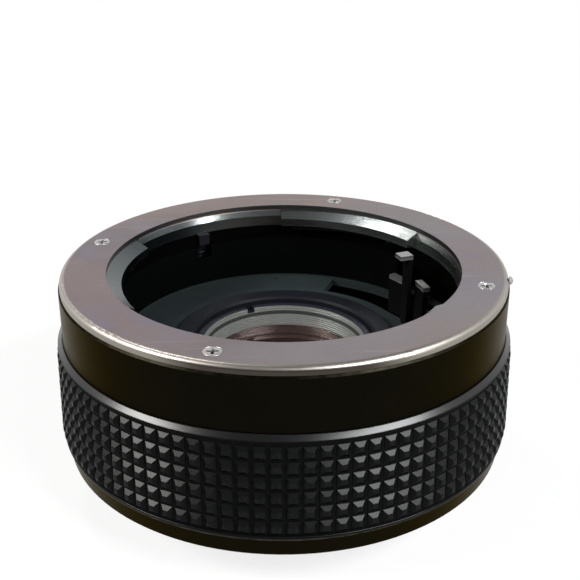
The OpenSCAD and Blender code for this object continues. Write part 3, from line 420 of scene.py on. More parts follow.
def matt_black():
    """Anti-reflection black inside the cavity, with faint concentric turning and a dusty floor; the walls
    are coloured far darker than the floor as painted shade.
    """
    f = Finish("matt_black")
    cloud = f.noise(scale=0.3)
    turned = f.line_noise(f.radius + f.z * 1.3, scale=5.0)
    dust = f.step(f.noise(scale=2.6, detail=5.0, roughness=0.7), 0.66, 0.82)
    floor = 1.0 - f.step(f.z, down(FLOOR) + 0.1, down(FLOOR) + 0.4)
    # Painted shade: the cavity walls are coloured far darker than the floor of the same black.
    cavity_wall_shade_dark, cavity_wall_shade_pale = (0.0005, 0.0007, 0.0007), (0.0012, 0.0015, 0.0015)
    floor_dark, floor_pale = (0.015, 0.020, 0.0205), (0.022, 0.028, 0.029)
    dust_grey = (0.06, 0.064, 0.06)
    colour = f.painted(
        f.colour_mix(cloud, cavity_wall_shade_dark, cavity_wall_shade_pale),
        (floor, f.colour_mix(cloud, floor_dark, floor_pale)),
        (dust * floor * 0.3, dust_grey),
    )
    return f.surface(
        {
            "Base Color": colour,
            "Roughness": f.varied(0.58, (turned, 0.2)),
            "Specular IOR Level": 0.025,
            "Normal": f.bump(turned, distance=0.03, strength=0.6),
        }
    )


def cell_black():
    """Black anodising of the lens cell, a little blue, with turned grooves and a worn edge."""
    f = Finish("cell_black")
    cloud = f.noise(scale=0.35)
    turned = f.line_noise(f.radius + f.z * 0.8, scale=8.0)
    flange_edge = f.band(f.radius, CELL_FLANGE_R - 0.28, CELL_FLANGE_R - 0.05, soft=0.06)
    worn = flange_edge * f.step(f.noise(scale=1.3), 0.4, 0.7)
    dark, pale, rubbed = (0.005, 0.0055, 0.0075), (0.008, 0.0085, 0.0115), (0.04, 0.042, 0.05)
    return f.surface(
        {
            "Base Color": f.painted(dark, (cloud, pale), (worn * 0.6, rubbed)),
            "Roughness": f.varied(0.45, (turned, 0.2)),
            "Specular IOR Level": 0.1,
            "Normal": f.bump(turned, distance=0.02, strength=0.6),
        }
    )


def ring_grey():
    """Retaining ring: pale grey anodising on the stepped bore, with a dark band across the steps as painted
    reflection, and a black outside.
    """
    f = Finish("ring_grey")
    cloud = f.noise(scale=0.5)
    turned = f.line_noise(f.radius * 0.8 + f.z, scale=10.0)
    outside = f.step(f.radius, MOUTH_R - 0.02, MOUTH_R + 0.06)
    # Painted reflection: a dark band across the stepped bore, where no groove is cut.
    painted_dark_band = f.band(f.z, down(13.25), down(12.85), soft=0.08)
    dark, pale, line_grey = (0.24, 0.26, 0.245), (0.31, 0.33, 0.31), (0.12, 0.13, 0.125)
    painted_dark_colour, outer_black = (0.02, 0.023, 0.024), (0.012, 0.012, 0.018)
    colour = f.painted(
        dark, (cloud, pale), (turned * 0.4, line_grey), (painted_dark_band * 0.85, painted_dark_colour), (outside, outer_black)
    )
    return f.surface(
        {
            "Base Color": colour,
            "Metallic": (1.0 - outside) * 0.6,
            "Roughness": f.varied(0.38, (turned, 0.16)),
            "Specular IOR Level": 0.2,
            "Normal": f.bump(turned, distance=0.015, strength=0.5),
        }
    )


def coated_glass():
    """Coated lens glass with a red-brown residual colour and a blackened ground edge."""
    f = Finish("coated_glass")
    bloom = f.noise(scale=0.22, detail=2.0)
    dust = f.step(f.noise(scale=6.0, roughness=0.6), 0.7, 0.82)
    ground = f.noise(scale=4.0)
    wine, rust = (0.27, 0.15, 0.135), (0.34, 0.21, 0.185)
    edge_black, edge_painted_highlight = (0.008, 0.008, 0.009), (0.02, 0.02, 0.02)
    clear = f.principled(
        {
            "Base Color": f.colour_mix(bloom, wine, rust),
            "Roughness": 0.03 + dust * 0.2,
            "IOR": 1.6,
            "Transmission Weight": 0.95,
            "Specular Tint": (0.95, 0.42, 0.40, 1.0),
        }
    )
    edge = f.principled(
        {
            "Base Color": f.colour_mix(ground, edge_black, edge_painted_highlight),
            "Roughness": 0.6 + ground * 0.2,
        }
    )
    at_edge = f.step(f.radius, CLEAR_R + 0.05, CLEAR_R + 0.2)
    return f.done(f.node("ShaderNodeMixShader", None, {0: at_edge, 1: clear, 2: edge}))


def lever_steel():
    """Steel strips, blackened except for the rubbed tips that the lens and camera touch."""
    f = Finish("lever_steel")
    grain = f.noise(scale=3.0, detail=4.0)
    brushed = f.line_noise(f.x * 0.9 + f.y * 1.1, scale=16.0)

    def above(depth):
        """1 above a depth."""
        return f.step(f.z, down(depth + 0.3), down(depth))

    stop_tip, first_prong_tip, second_prong_tip = above(2.0), above(6.4), above(7.8)
    second_prong = f.step(f.y, 8.7, 9.3)
    prong_tip = (1.0 - second_prong) * first_prong_tip + second_prong * second_prong_tip
    inner = 1.0 - f.step(f.radius, COUPLING_R - 0.1, COUPLING_R + 0.1)
    tip = inner * stop_tip + (1.0 - inner) * prong_tip
    camera_tip = (1.0 - f.step(f.z, 2.6, 3.2)) * inner
    bare = f.clamped(tip + camera_tip) * f.step(grain, 0.15, 0.45)
    blackened, bright, brush_grey = (0.003, 0.003, 0.003), (0.46, 0.47, 0.46), (0.12, 0.12, 0.12)
    return f.surface(
        {
            "Base Color": f.painted(blackened, (bare, bright), (brushed * 0.4 * bare, brush_grey)),
            "Metallic": bare,
            "Roughness": f.varied(0.4, (brushed, 0.2)),
            "Specular IOR Level": 0.04,
            "Normal": f.bump(brushed, distance=0.01, strength=0.5),
        }
    )


def plain_metal(name, pale, dark, rough):
    """Bare metal of inner pieces, brushed round the axis."""
    f = Finish(name)
    grain = f.noise(scale=1.2, detail=4.0)
    brushed = f.line_noise(f.radius + f.z, scale=12.0)
    return f.surface(
        {
            "Base Color": f.colour_mix(grain * 0.5 + brushed * 0.4, pale, dark),
            "Metallic": 1.0,
            "Roughness": f.varied(rough, (brushed, 0.2)),
            "Normal": f.bump(brushed, distance=0.008, strength=0.5),
        }
    )


FINISHES = {
    "mount_chrome": mount_chrome(),
    "screw_steel": screw_steel(),
    "bead_enamel": bead_enamel(),
    "black_barrel": black_barrel(),
    "grip_rubber": grip_rubber(),
    "matt_black": matt_black(),
    "cell_black": cell_black(),
    "ring_grey": ring_grey(),
    "coated_glass": coated_glass(),
    "lever_steel": lever_steel(),
    "ring_steel": plain_metal(
        "ring_steel", pale=(0.50, 0.50, 0.49), dark=(0.34, 0.34, 0.34), rough=0.36
    ),
    "spring_steel": plain_metal(
        "spring_steel", pale=(0.60, 0.59, 0.57), dark=(0.42, 0.41, 0.40), rough=0.3
    ),
    "brass": plain_metal("brass", pale=(0.42, 0.30, 0.12), dark=(0.28, 0.19, 0.07), rough=0.4),
    # Painted shade: near-black steel for the leaf springs, their rivets and the latch coil, which lie in
    # shade inside the mount.
    "dark_steel": plain_metal(
        "dark_steel", pale=(0.030, 0.030, 0.031), dark=(0.016, 0.016, 0.017), rough=0.45
    ),
}

# CAD nodes that keep their shape, listed by the finish that they take.
NODE_FINISHES = {
    "mount_chrome": ["front_mount_ring", "rear_mount_ring"],
    "screw_steel": ["release_screw"],
    "bead_enamel": ["index_bead"],
    "black_barrel": ["front_barrel", "main_barrel", "release_slide"],
    "matt_black": ["baffle_tube", "bulkhead", "rear_baffle"],
    "cell_black": ["lens_cell", "front_spacer", "rear_spacer", "rear_retaining_ring", "lock_latch"],
    "coated_glass": ["front_element", "second_element", "third_element", "rear_element"],
    "lever_steel": ["stop_down_lever", "stop_down_arm", "meter_prongs", "meter_arm"],
    "ring_steel": ["stop_down_ring", "meter_ring", "keeper_ring", "spring_posts"],
    # Leaf springs and rivets take near-black steel as painted shade.
    "dark_steel": ["bayonet_leaf_springs", "leaf_spring_rivets"],
    "brass": ["slip_washer"],
}
for finish_name, node_names in NODE_FINISHES.items():
    for node_name in node_names:
        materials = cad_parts[node_name].data.materials
        materials.clear()
        materials.append(FINISHES[finish_name])


# Shapes
def new_object(name, data):
    """Puts a new object at the origin of the scene."""
    made = bpy.data.objects.new(name, data)
    bpy.context.scene.collection.objects.link(made)
    return made


def mesh_from(name, build):
    """Runs build on an empty bmesh and returns the finished mesh, with its faces turned outwards."""
    shape = bmesh.new()
    build(shape)
    bmesh.ops.remove_doubles(shape, verts=shape.verts, dist=1e-7)
    bmesh.ops.recalc_face_normals(shape, faces=shape.faces)
    mesh = bpy.data.meshes.new(name)
    shape.to_mesh(mesh)
    shape.free()
    return mesh


def lathe(name, profile, segments, sharp_angle=35.0):
    """Turns a closed profile of (radius, height) round the Z axis."""

    def build(shape):
        rings = []
        for radius, height in profile:
            turns = [2 * math.pi * i / segments for i in range(segments if radius > 0 else 1)]
            places = [(radius * math.cos(t) * MM, radius * math.sin(t) * MM, height * MM) for t in turns]
            rings.append([shape.verts.new(place) for place in places])
        for first, second in zip(rings, rings[1:] + rings[:1]):
            for i in range(segments):
                k = (i + 1) % segments
                corners = [
                    first[i % len(first)],
                    first[k % len(first)],
                    second[k % len(second)],
                    second[i % len(second)],
                ]
                distinct = list(dict.fromkeys(corners))
                if len(distinct) > 2:
                    shape.faces.new(distinct)

    mesh = mesh_from(name, build)
    mesh.shade_smooth()
    mesh.set_sharp_from_angle(angle=math.radians(sharp_angle))
    return mesh


def arc(centre_r, centre_z, radius, start, end, count):
    """Points of a profile along a circular arc, angles in degrees from +r."""
    angles = [math.radians(start + (end - start) * i / count) for i in range(count + 1)]
    return [(centre_r + radius * math.cos(a), centre_z + radius * math.sin(a)) for a in angles]


def block(name, low, high):
    """Box between two levels, each given as ((x0, x1), (y0, y1), z), so that it can taper."""

    def build(shape):
        levels = []
        for (x0, x1), (y0, y1), z in (low, high):
            level = [(x0, y0), (x1, y0), (x1, y1), (x0, y1)]
            levels.append([shape.verts.new((x * MM, y * MM, z * MM)) for x, y in level])
        shape.faces.new(levels[0])
        shape.faces.new(levels[1])
        for i in range(4):
            k = (i + 1) % 4
            shape.faces.new([levels[0][i], levels[0][k], levels[1][k], levels[1][i]])

    return mesh_from(name, build)


def settled(piece):
    """Turns a piece's modifiers into its plain mesh."""
    ready = piece.evaluated_get(bpy.context.evaluated_depsgraph_get())
    mesh = bpy.data.meshes.new_from_object(ready)
    piece.modifiers.clear()
    piece.data = mesh
    return piece


def carved(name, mesh, *cutters):
    """Cuts the cutters out of a mesh."""
    body = new_object(name, mesh)
    tools = [new_object(f"{name}_cutter", cutter) for cutter in cutters]
    for tool in tools:
        cut = body.modifiers.new("cut", "BOOLEAN")
        cut.operation = "DIFFERENCE"
        cut.solver = "EXACT"
        cut.object = tool
    settled(body)
    for tool in tools:
        bpy.data.objects.remove(tool)
    return body


# Geometry trees
FLOAT, INT = "NodeSocketFloat", "NodeSocketInt"
GEOMETRY, OBJECT, MATERIAL = "NodeSocketGeometry", "NodeSocketObject", "NodeSocketMaterial"


def geometry_tree(name, inputs):
    """Starts a geometry tree with named inputs and returns its graph and the inputs' values."""
    tree = bpy.data.node_groups.new(name, "GeometryNodeTree")
    tree.interface.new_socket("Geometry", in_out="OUTPUT", socket_type=GEOMETRY)
    for label, kind in inputs.items():
        tree.interface.new_socket(label, in_out="INPUT", socket_type=kind)
    graph = Graph(tree)
    return graph, {label: graph.node("NodeGroupInput", output=label) for label in inputs}


def close_tree(graph, geometry, material):
    """Ends a tree in Realize Instances and Set Material."""
    real = graph.node("GeometryNodeRealizeInstances", None, {0: geometry})
    finished = graph.node("GeometryNodeSetMaterial", None, {"Geometry": real, "Material": material})
    graph.node("NodeGroupOutput", None, {0: finished})
    return graph.tree


def on_a_circle(graph, radius, angle, height):
    """Place at a radius, an angle in radians and a height."""
    return graph.vector(
        radius * graph.maths("COSINE", angle), radius * graph.maths("SINE", angle), height
    )


def set_on_points(graph, item, count, place, rotation):
    """Copies of an object on points, each turned by its own rotation."""
    points = graph.node("GeometryNodePoints", None, {"Count": count, "Position": place})
    shape = graph.node("GeometryNodeObjectInfo", None, {"Object": item}, "Geometry")
    return graph.node(
        "GeometryNodeInstanceOnPoints",
        None,
        {"Points": points, "Instance": shape, "Rotation": rotation},
    )


def sleeve_tree():
    """Rows and columns of pyramids set on the wall of the rubber sleeve."""
    g, given = geometry_tree(
        "sleeve_pyramids",
        {
            "Wall": GEOMETRY,
            "Pyramid": OBJECT,
            "Columns": INT,
            "Rows": INT,
            "Top Radius": FLOAT,
            "Row Flare": FLOAT,
            "Top Height": FLOAT,
            "Row Height": FLOAT,
            "Rubber": MATERIAL,
        },
    )
    index = g.node("GeometryNodeInputIndex")
    row = g.maths("FLOOR", index / given["Columns"])
    column = index - row * given["Columns"]
    angle = (column + 0.5) * (2 * math.pi) / given["Columns"]
    radius = given["Top Radius"] + row * given["Row Flare"]
    place = on_a_circle(g, radius, angle, given["Top Height"] - row * given["Row Height"])
    count = given["Columns"] * given["Rows"]
    studs = set_on_points(g, given["Pyramid"], count, place, g.vector(0.0, 0.0, angle))
    joined = g.node("GeometryNodeJoinGeometry", None, {0: [studs, given["Wall"]]})
    return close_tree(g, joined, given["Rubber"])


def screw_circle_tree():
    """Equal screws on a circle, pointing down, or up where they are tilted by half a turn."""
    g, given = geometry_tree(
        "screws_on_a_circle",
        {
            "Screw": OBJECT,
            "Count": INT,
            "Circle": FLOAT,
            "Start": FLOAT,
            "Height": FLOAT,
            "Tilt": FLOAT,
            "Twist": FLOAT,
            "Steel": MATERIAL,
        },
    )
    index = g.node("GeometryNodeInputIndex")
    angle = given["Start"] + index * (2 * math.pi) / given["Count"]
    place = on_a_circle(g, given["Circle"], angle, given["Height"])
    rotation = g.vector(0.0, given["Tilt"], angle + given["Twist"])
    turned = set_on_points(g, given["Screw"], given["Count"], place, rotation)
    return close_tree(g, turned, given["Steel"])


def wire_tree():
    """Round wire along a path of edges."""
    g, given = geometry_tree(
        "wire_on_a_path", {"Path": GEOMETRY, "Wire Radius": FLOAT, "Sides": INT, "Steel": MATERIAL}
    )
    path = g.node("GeometryNodeMeshToCurve", None, {"Mesh": given["Path"]})
    section = g.node(
        "GeometryNodeCurvePrimitiveCircle",
        None,
        {"Resolution": given["Sides"], "Radius": given["Wire Radius"]},
    )
    swept = g.node(
        "GeometryNodeCurveToMesh", None, {"Curve": path, "Profile Curve": section, "Fill Caps": True}
    )
    smooth = g.node("GeometryNodeSetShadeSmooth", None, {"Geometry": swept})
    return close_tree(g, smooth, given["Steel"])


def grown(piece, tree, values):
    """Runs a geometry tree on a piece, with its inputs set by identifier, and settles the result."""
    modifier = piece.modifiers.new(tree.name, "NODES")
    modifier.node_group = tree
    for item in tree.interface.items_tree:
        if item.in_out == "INPUT" and item.name in values:
            modifier[item.identifier] = values[item.name]
    return settled(piece)


def fit_piece(piece, body, slot, *nodes):
    """Hands a finished piece to its body and hides the nodes that it stands for. The slot is not used."""
    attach(piece, body)
    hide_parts(*nodes)


# Rubber sleeve
def sleeve_wall():
    """Wall of the sleeve: rounded foot, valley surface under the pyramids, and bevelled lip."""
    valley_top_r = GRIP_PEAK - GRIP_TOOTH
    valley_foot_r = valley_top_r + GRIP_FLARE
    foot_r = GRIP_PEAK + GRIP_FLARE - 0.25
    foot_round, shoulder_round = 0.3, 0.2
    shoulder = down(GRIP_ROWS_BOTTOM + 0.28)
    lip_r, lip_round = 31.84, 0.11
    bevel = [(31.885, 9.138), (31.42, 8.628), (31.38, 8.59), (31.32, 8.565), (31.22, 8.58)]
    profile = [(SLEEVE_R, down(SLEEVE_BOTTOM)), (foot_r - foot_round, down(SLEEVE_BOTTOM))]
    profile += arc(foot_r - foot_round, down(SLEEVE_BOTTOM - foot_round), foot_round, -75.0, 0.0, 5)
    profile += [(foot_r, shoulder)]
    profile += arc(foot_r - shoulder_round, shoulder, shoulder_round, 20.0, 80.0, 3)
    profile += [(valley_foot_r, down(GRIP_ROWS_BOTTOM)), (valley_top_r, down(GRIP_ROWS_TOP))]
    profile += [(valley_top_r, down(LIP_BOTTOM + 0.06)), (lip_r + 0.02, down(LIP_BOTTOM))]
    profile += arc(lip_r, down(LIP_BOTTOM - lip_round), lip_round, -60.0, 42.4, 5)
    profile += [(radius, down(depth)) for radius, depth in bevel]
    profile += [(bevel[-1][0], down(SLEEVE_TOP)), (SLEEVE_R, down(SLEEVE_TOP))]
    return lathe("grip_sleeve_wall", profile, segments=200, sharp_angle=30.0)


def pyramid_mesh():
    """One blunt pyramid of the sleeve, pointing along +X from the valley surface."""
    half_w = math.pi * (GRIP_PEAK - GRIP_TOOTH) / GRIP_COLUMNS - GROOVE_W / 2
    half_h = GRIP_ROW_H / 2 - GROOVE_W / 2
    tip_x = 0.565
    # Height over the valley, share of the foot's size, and nick of the four corners
    levels = [
        (-0.04, 1.0, 0.06), (0.05, 0.98, 0.06), (0.09, 0.94, 0.06),
        (0.50, 0.44, 0.05), (0.545, 0.37, 0.05), (0.56, 0.29, 0.04),
    ]

    def build(shape):
        rings = []
        for x, share, nick in levels:
            w, h = half_w * share, half_h * share
            outline = [
                (w - nick, -h), (w, -h + nick), (w, h - nick), (w - nick, h),
                (-w + nick, h), (-w, h - nick), (-w, -h + nick), (-w + nick, -h),
            ]
            rings.append([shape.verts.new((x * MM, a * MM, b * MM)) for a, b in outline])
        corners = len(rings[0])
        for low, high in zip(rings, rings[1:]):
            for i in range(corners):
                k = (i + 1) % corners
                shape.faces.new([low[i], low[k], high[k], high[i]])
        tip = shape.verts.new((tip_x * MM, 0.0, 0.0))
        for i in range(corners):
            shape.faces.new([rings[-1][i], rings[-1][(i + 1) % corners], tip])
        shape.faces.new(rings[0])

    return mesh_from("grip_pyramid", build)


def rubber_sleeve():
    """The grip: a wall with six rows of pyramids."""
    pyramid = new_object("grip_pyramid", pyramid_mesh())
    sleeve = new_object("rubber_sleeve", sleeve_wall())
    row_flare = GRIP_FLARE / GRIP_ROWS
    grown(
        sleeve,
        sleeve_tree(),
        {
            "Pyramid": pyramid,
            "Columns": GRIP_COLUMNS,
            "Rows": GRIP_ROWS,
            "Top Radius": (GRIP_PEAK - GRIP_TOOTH + row_flare / 2) * MM,
            "Row Flare": row_flare * MM,
            "Top Height": down(GRIP_ROWS_TOP + GRIP_ROW_H / 2) * MM,
            "Row Height": GRIP_ROW_H * MM,
            "Rubber": FINISHES["grip_rubber"],
        },
    )
    bpy.data.objects.remove(pyramid)
    fit_piece(sleeve, "converter", "grip_rubber", "grip_sleeve")


# Screws
def mark_recess(piece, radius, low, high):
    """Marks the corners that lie in the screw's recess, between two heights, for the finish to darken as
    painted shade.
    """
    layer = piece.data.attributes.new("recess", "FLOAT", "POINT")
    for vertex, cell in zip(piece.data.vertices, layer.data):
        inside = math.hypot(vertex.co.x, vertex.co.y) < radius * MM
        cell.value = 1.0 if inside and low * MM < vertex.co.z < high * MM else 0.0


def countersunk_screw(name, length):
    """Cross-recessed countersunk screw with its head at z = 0, pointing down."""
    head_r, shank_r, cone, end = 1.2, 0.7, 0.6, 0.2
    profile = [
        (0.0, 0.0), (head_r - 0.1, 0.0), (head_r - 0.03, -0.02), (head_r, -0.07),
        (shank_r, -cone), (shank_r, -length + end), (shank_r - end, -length), (0.0, -length),
    ]
    recess_floor = ((-0.42, 0.42), (-0.12, 0.12), -0.44)
    recess_mouth = ((-0.80, 0.80), (-0.21, 0.21), 0.06)
    arms = []
    for turn in (0.0, math.pi / 2):
        arm = block("recess", recess_floor, recess_mouth)
        arm.transform(Matrix.Rotation(turn, 4, "Z"))
        arms.append(arm)
    screw = carved(name, lathe(name, profile, segments=40), *arms)
    mark_recess(screw, radius=0.75, low=-0.5, high=-0.2)
    return screw


def cheese_screw(name, shank_r, head_r, head_h, length):
    """Slotted cheese-head screw whose head rests on z = 0, pointing down."""
    edge, end = 0.08, 0.15
    profile = [
        (0.0, head_h), (head_r - edge, head_h), (head_r - edge * 0.3, head_h - edge * 0.3),
        (head_r, head_h - edge), (head_r, 0.0), (shank_r, 0.0),
        (shank_r, -length + end), (shank_r - end, -length), (0.0, -length),
    ]
    span = (-2 * head_r, 2 * head_r)
    slot = block("slot", (span, (-0.12, 0.12), head_h / 2), (span, (-0.13, 0.13), head_h * 2))
    screw = carved(name, lathe(name, profile, segments=32), slot)
    mark_recess(screw, radius=head_r * 0.98, low=head_h * 0.3, high=head_h * 0.7)
    return screw


def screws(name, node, screw, count, circle, start, depth, tilt, twist):
    """Sets screws on a circle in place of a node; a tilt of 0 points them down and 180 points them up."""
    piece = new_object(name, bpy.data.meshes.new(name))
    grown(
        piece,
        screw_circle_tree(),
        {
            "Screw": screw,
            "Count": count,
            "Circle": circle * MM,
            "Start": math.radians(start),
            "Height": down(depth) * MM,
            "Tilt": math.radians(tilt),
            "Twist": math.radians(twist),
            "Steel": FINISHES["screw_steel"],
        },
    )
    bpy.data.objects.remove(screw)
    fit_piece(piece, "converter", "screw_steel", node)


def all_screws():
    """Countersunk screws in the two mounts, and slotted ones inside."""
    screws(
        "front_screws", "front_mount_screws", countersunk_screw("front_screw", length=3.6),
        count=4, circle=28.17, start=MOUNT_SCREW_START, depth=0.0, tilt=0.0, twist=20.0,
    )
    screws(
        "rear_screws", "rear_mount_screws", countersunk_screw("rear_screw", length=2.8),
        count=4, circle=26.5, start=MOUNT_SCREW_START, depth=REAR_FACE, tilt=180.0, twist=20.0,
    )
    screws(
        "floor_screws", "bulkhead_screws",
        cheese_screw("floor_screw", shank_r=0.5, head_r=0.8, head_h=0.5, length=2.6),
        count=3, circle=26.6, start=LOCK_ANGLE + 60.0, depth=FLOOR, tilt=0.0, twist=35.0,
    )
    screws(
        "keeper_ring_screws", "keeper_screws",
        cheese_screw("keeper_screw", shank_r=0.5, head_r=0.8, head_h=0.5, length=2.6),
        count=3, circle=15.95, start=LOCK_ANGLE, depth=18.55, tilt=180.0, twist=35.0,
    )
    screws(
        "baffle_screws", "rear_baffle_screws",
        cheese_screw("baffle_screw", shank_r=0.35, head_r=0.64, head_h=0.4, length=1.3),
        count=3, circle=21.65, start=LOCK_ANGLE - 55.0, depth=25.3, tilt=0.0, twist=35.0,
    )


# Springs
def coil(radius, length, turns, leg, ramp, per_turn=24):
    """Path of a coil along +Z with straight ends; it opens from its axis over ramp turns."""
    last = turns * per_turn
    path = []
    for i in range(last + 1):
        opened = 1.0 if ramp == 0 else min(1.0, i / (ramp * per_turn), (last - i) / (ramp * per_turn))
        turn = 2 * math.pi * i / per_turn
        height = leg + i * (length - 2 * leg) / last
        path.append(
            Vector((radius * opened * math.cos(turn), radius * opened * math.sin(turn), height))
        )
    first, end = path[0], path[-1]
    return [Vector((first.x, first.y, 0.0)), *path, Vector((end.x, end.y, length))]


def spring(name, path, place, wire_r, finish):
    """Sweeps round wire along a path that is moved to its place."""
    mesh = bpy.data.meshes.new(name)
    points = [(place @ point) * MM for point in path]
    mesh.from_pydata(points, [(i, i + 1) for i in range(len(points) - 1)], [])
    piece = new_object(name, mesh)
    values = {"Wire Radius": wire_r * MM, "Sides": 10, "Steel": FINISHES[finish]}
    return grown(piece, wire_tree(), values)


def coupling_spring(name, pin_angle, side, height, node):
    """Extension spring along the chord from a coupling ring's pin to its fixed post."""
    circle, span, pin_r, post_r, gap = 22.3, 26.0, 0.5, 0.6, 0.05
    length = 2 * circle * math.sin(math.radians(span / 2)) - pin_r - post_r - 2 * gap
    place = (
        Matrix.Rotation(math.radians(pin_angle), 4, "Z")
        @ Matrix.Translation((circle, 0.0, height))
        @ Matrix.Rotation(math.radians(side * span / 2), 4, "Z")
        @ Matrix.Rotation(math.radians(-side * 90.0), 4, "X")
        @ Matrix.Translation((0.0, 0.0, pin_r + gap))
    )
    path = coil(radius=0.75, length=length, turns=9, leg=1.0, ramp=0.5)
    piece = spring(name, path, place, wire_r=0.14, finish="spring_steel")
    fit_piece(piece, "converter", "spring_steel", node)


def lock_coil():
    """Compression spring under the latch, at its rest length; the real spring shortens as the latch is
    pulled down.
    """
    foot, length, travel, wire_r = down(FLOOR) + 0.05, 6.1, 1.9, 0.18
    place = Matrix.Rotation(math.radians(LOCK_ANGLE), 4, "Z") @ Matrix.Translation((LOCK_R, 0.0, foot))
    path = coil(radius=1.1, length=length, turns=5, leg=2 * wire_r, ramp=0)
    # The latch coil takes near-black steel as painted shade.
    piece = spring("latch_coil", path, place, wire_r, finish="dark_steel")
    fit_piece(piece, "converter", "spring_steel", "lock_spring")
    foot * MM
    (length - travel) / length
    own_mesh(piece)


# Retaining ring of the front glass
def stepped_ring():
    """Retaining ring whose conical bore is cut in fine steps, with two spanner slots."""
    top, foot, outer_r = down(12.1), down(15.0), 12.95
    land, steps, mouth_edge, outer_edge = 0.3, 9, 0.06, 0.1
    rise = (top - foot - land) / steps
    reach = (MOUTH_R - CLEAR_R) / steps
    profile = [(CLEAR_R, foot)]
    for i in range(steps):
        low = foot + land + i * rise
        profile += [(CLEAR_R + i * reach, low), (CLEAR_R + (i + 0.75) * reach, low + 0.15 * rise)]
    profile += [(MOUTH_R, top - mouth_edge), (MOUTH_R + mouth_edge, top)]
    profile += [(outer_r - outer_edge, top), (outer_r, top - outer_edge), (outer_r, foot)]
    slot_x, slot_y, slot_depth, slot_rise = (10.0, 14.0), (-0.6, 0.6), 0.7, 1.0
    slots = []
    for turn in (116.0, 296.0):
        slot = block("slot", (slot_x, slot_y, top - slot_depth), (slot_x, slot_y, top + slot_rise))
        slot.transform(Matrix.Rotation(math.radians(turn), 4, "Z"))
        slots.append(slot)
    name = "stepped_retaining_ring"
    piece = carved(name, lathe(name, profile, segments=144, sharp_angle=20.0), *slots)
    piece.data.materials.clear()
    piece.data.materials.append(FINISHES["ring_grey"])
    fit_piece(piece, "converter", "ring_grey", "front_retaining_ring")


rubber_sleeve()
all_screws()
coupling_spring("stop_down_coil", pin_angle=120.0, side=-1, height=down(14.55), node="stop_down_spring")
coupling_spring("meter_coil", pin_angle=225.0, side=1, height=down(16.9), node="meter_spring")
lock_coil()
stepped_ring()


# Camera, light and floor
def photo_camera():
    """Camera at the photograph's viewing angle, for a square image."""
    lens = bpy.data.cameras.new("camera")
    lens.lens = 61.77
    lens.sensor_width = 36.0
    lens.clip_start = 0.01
    camera = new_object("camera", lens)
    place = Vector((0.0, -0.1293136, 0.08504))
    right = Vector((0.999978, -0.006678, -0.000542))
    up = Vector((0.003199, 0.40489, 0.91436))
    ahead = Vector((0.005887, 0.914341, -0.404902))
    turn = Matrix((right, up, -ahead)).transposed().to_4x4()
    camera.matrix_world = Matrix.Translation(place) @ turn
    bpy.context.scene.camera = camera


def softbox(name, azimuth, elevation, distance, size, power, colour):
    """Area lamp aimed at the object; azimuth runs from the front towards the right."""
    lamp = bpy.data.lights.new(name, "AREA")
    lamp.shape = "RECTANGLE"
    lamp.size, lamp.size_y = size
    lamp.energy = power
    lamp.color = colour
    a, e = math.radians(azimuth), math.radians(elevation)
    aim = Vector((math.sin(a) * math.cos(e), -math.cos(a) * math.cos(e), math.sin(e)))
    target = Vector((0.0, 0.0, 0.02))
    made = new_object(name, lamp)
    made.matrix_world = (
        Matrix.Translation(aim * distance + target)
        @ aim.to_track_quat("Z", "Y").to_matrix().to_4x4()
    )


def seen_as_background(graph):
    """1 for rays from the camera, a reflection or glass, which all see the white background."""
    kinds = ("Camera", "Glossy", "Transmission")
    camera, glossy, through = [graph.node("ShaderNodeLightPath", output=f"Is {kind} Ray") for kind in kinds]
    return graph.maths("MAXIMUM", graph.maths("MAXIMUM", camera, glossy), through)


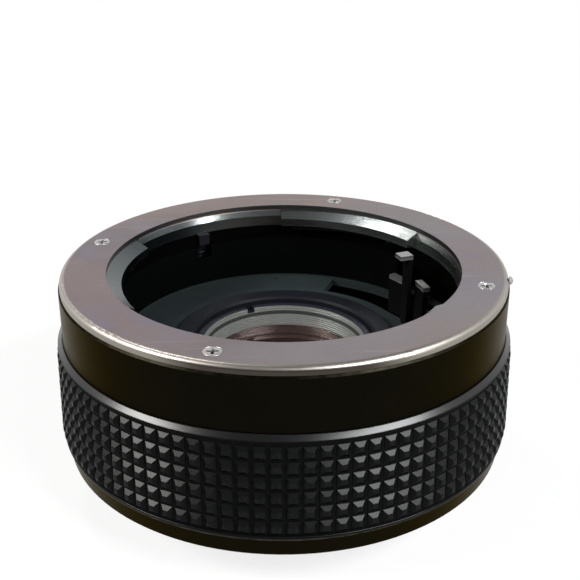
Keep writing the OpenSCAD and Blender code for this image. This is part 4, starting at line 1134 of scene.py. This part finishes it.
def white_world(ambient, ceiling):
    """White studio whose dim ceiling and front side show only in reflections."""
    world = bpy.data.worlds.new("white_studio")
    bpy.context.scene.world = world
    world.use_nodes = True
    g = Graph(world.node_tree)
    g.tree.nodes.clear()
    direction = g.node("ShaderNodeTexCoord", output="Generated")
    overhead = g.step(g.part(direction, "Z"), 0.45, 0.85)
    front = g.step(0.0 - g.part(direction, "Y"), 0.1, 0.6)
    camera_ray = g.node("ShaderNodeLightPath", output="Is Camera Ray")
    dimmed = g.maths("MAXIMUM", overhead, front)
    shown = 1.0 - dimmed * (1.0 - camera_ray) * (1.0 - ceiling)
    dim = g.node("ShaderNodeBackground", None, {"Color": (*WHITE, 1.0), "Strength": ambient})
    white = g.node("ShaderNodeBackground", None, {"Color": (*WHITE, 1.0), "Strength": shown})
    mixed = g.node("ShaderNodeMixShader", None, {0: seen_as_background(g), 1: dim, 2: white})
    g.node("ShaderNodeOutputWorld", None, {"Surface": mixed})


def pale_floor():
    """White paper floor that keeps the object's shadow and fades to the background's white."""
    reach, drop = 2.0, 0.00002

    def build(shape):
        corners = [(-reach, -reach), (reach, -reach), (reach, reach), (-reach, reach)]
        shape.faces.new([shape.verts.new((x, y, -drop)) for x, y in corners])

    mesh = mesh_from("floor", build)
    floor = new_object("floor", mesh)
    f = Finish("pale_floor")
    paper = f.noise(scale=0.05)
    lit = f.principled(
        {
            "Base Color": f.colour_mix(paper, (0.90, 0.90, 0.90), (0.86, 0.86, 0.86)),
            "Roughness": 0.9,
            "Specular IOR Level": 0.1,
        }
    )
    glow = f.node("ShaderNodeEmission", None, {"Color": (*WHITE, 1.0), "Strength": 1.0})
    near_white, far = 0.8, f.step(f.radius, 70.0, 160.0)
    white = seen_as_background(f) * (near_white + far * (1.0 - near_white))
    mixed = f.node("ShaderNodeMixShader", None, {0: white, 1: lit, 2: glow})
    mesh.materials.append(f.done(mixed))


photo_camera()
softbox(
    "left_softbox",
    azimuth=-72.0, elevation=35.0, distance=0.47, size=(0.20, 0.12), power=2.2, colour=(1.0, 0.98, 0.95),
)
softbox(
    "right_softbox",
    azimuth=51.0, elevation=41.0, distance=0.47, size=(0.30, 0.12), power=2.9, colour=(0.98, 0.99, 1.0),
)
softbox(
    "back_softbox",
    azimuth=-142.0, elevation=57.0, distance=0.45, size=(0.06, 0.06), power=0.42, colour=WHITE,
)
softbox(
    "low_lamp",
    azimuth=57.0, elevation=11.0, distance=0.45, size=(0.05, 0.05), power=0.45, colour=WHITE,
)
white_world(ambient=0.15, ceiling=0.12)
pale_floor()
bpy.context.scene.view_settings.view_transform = "Standard"
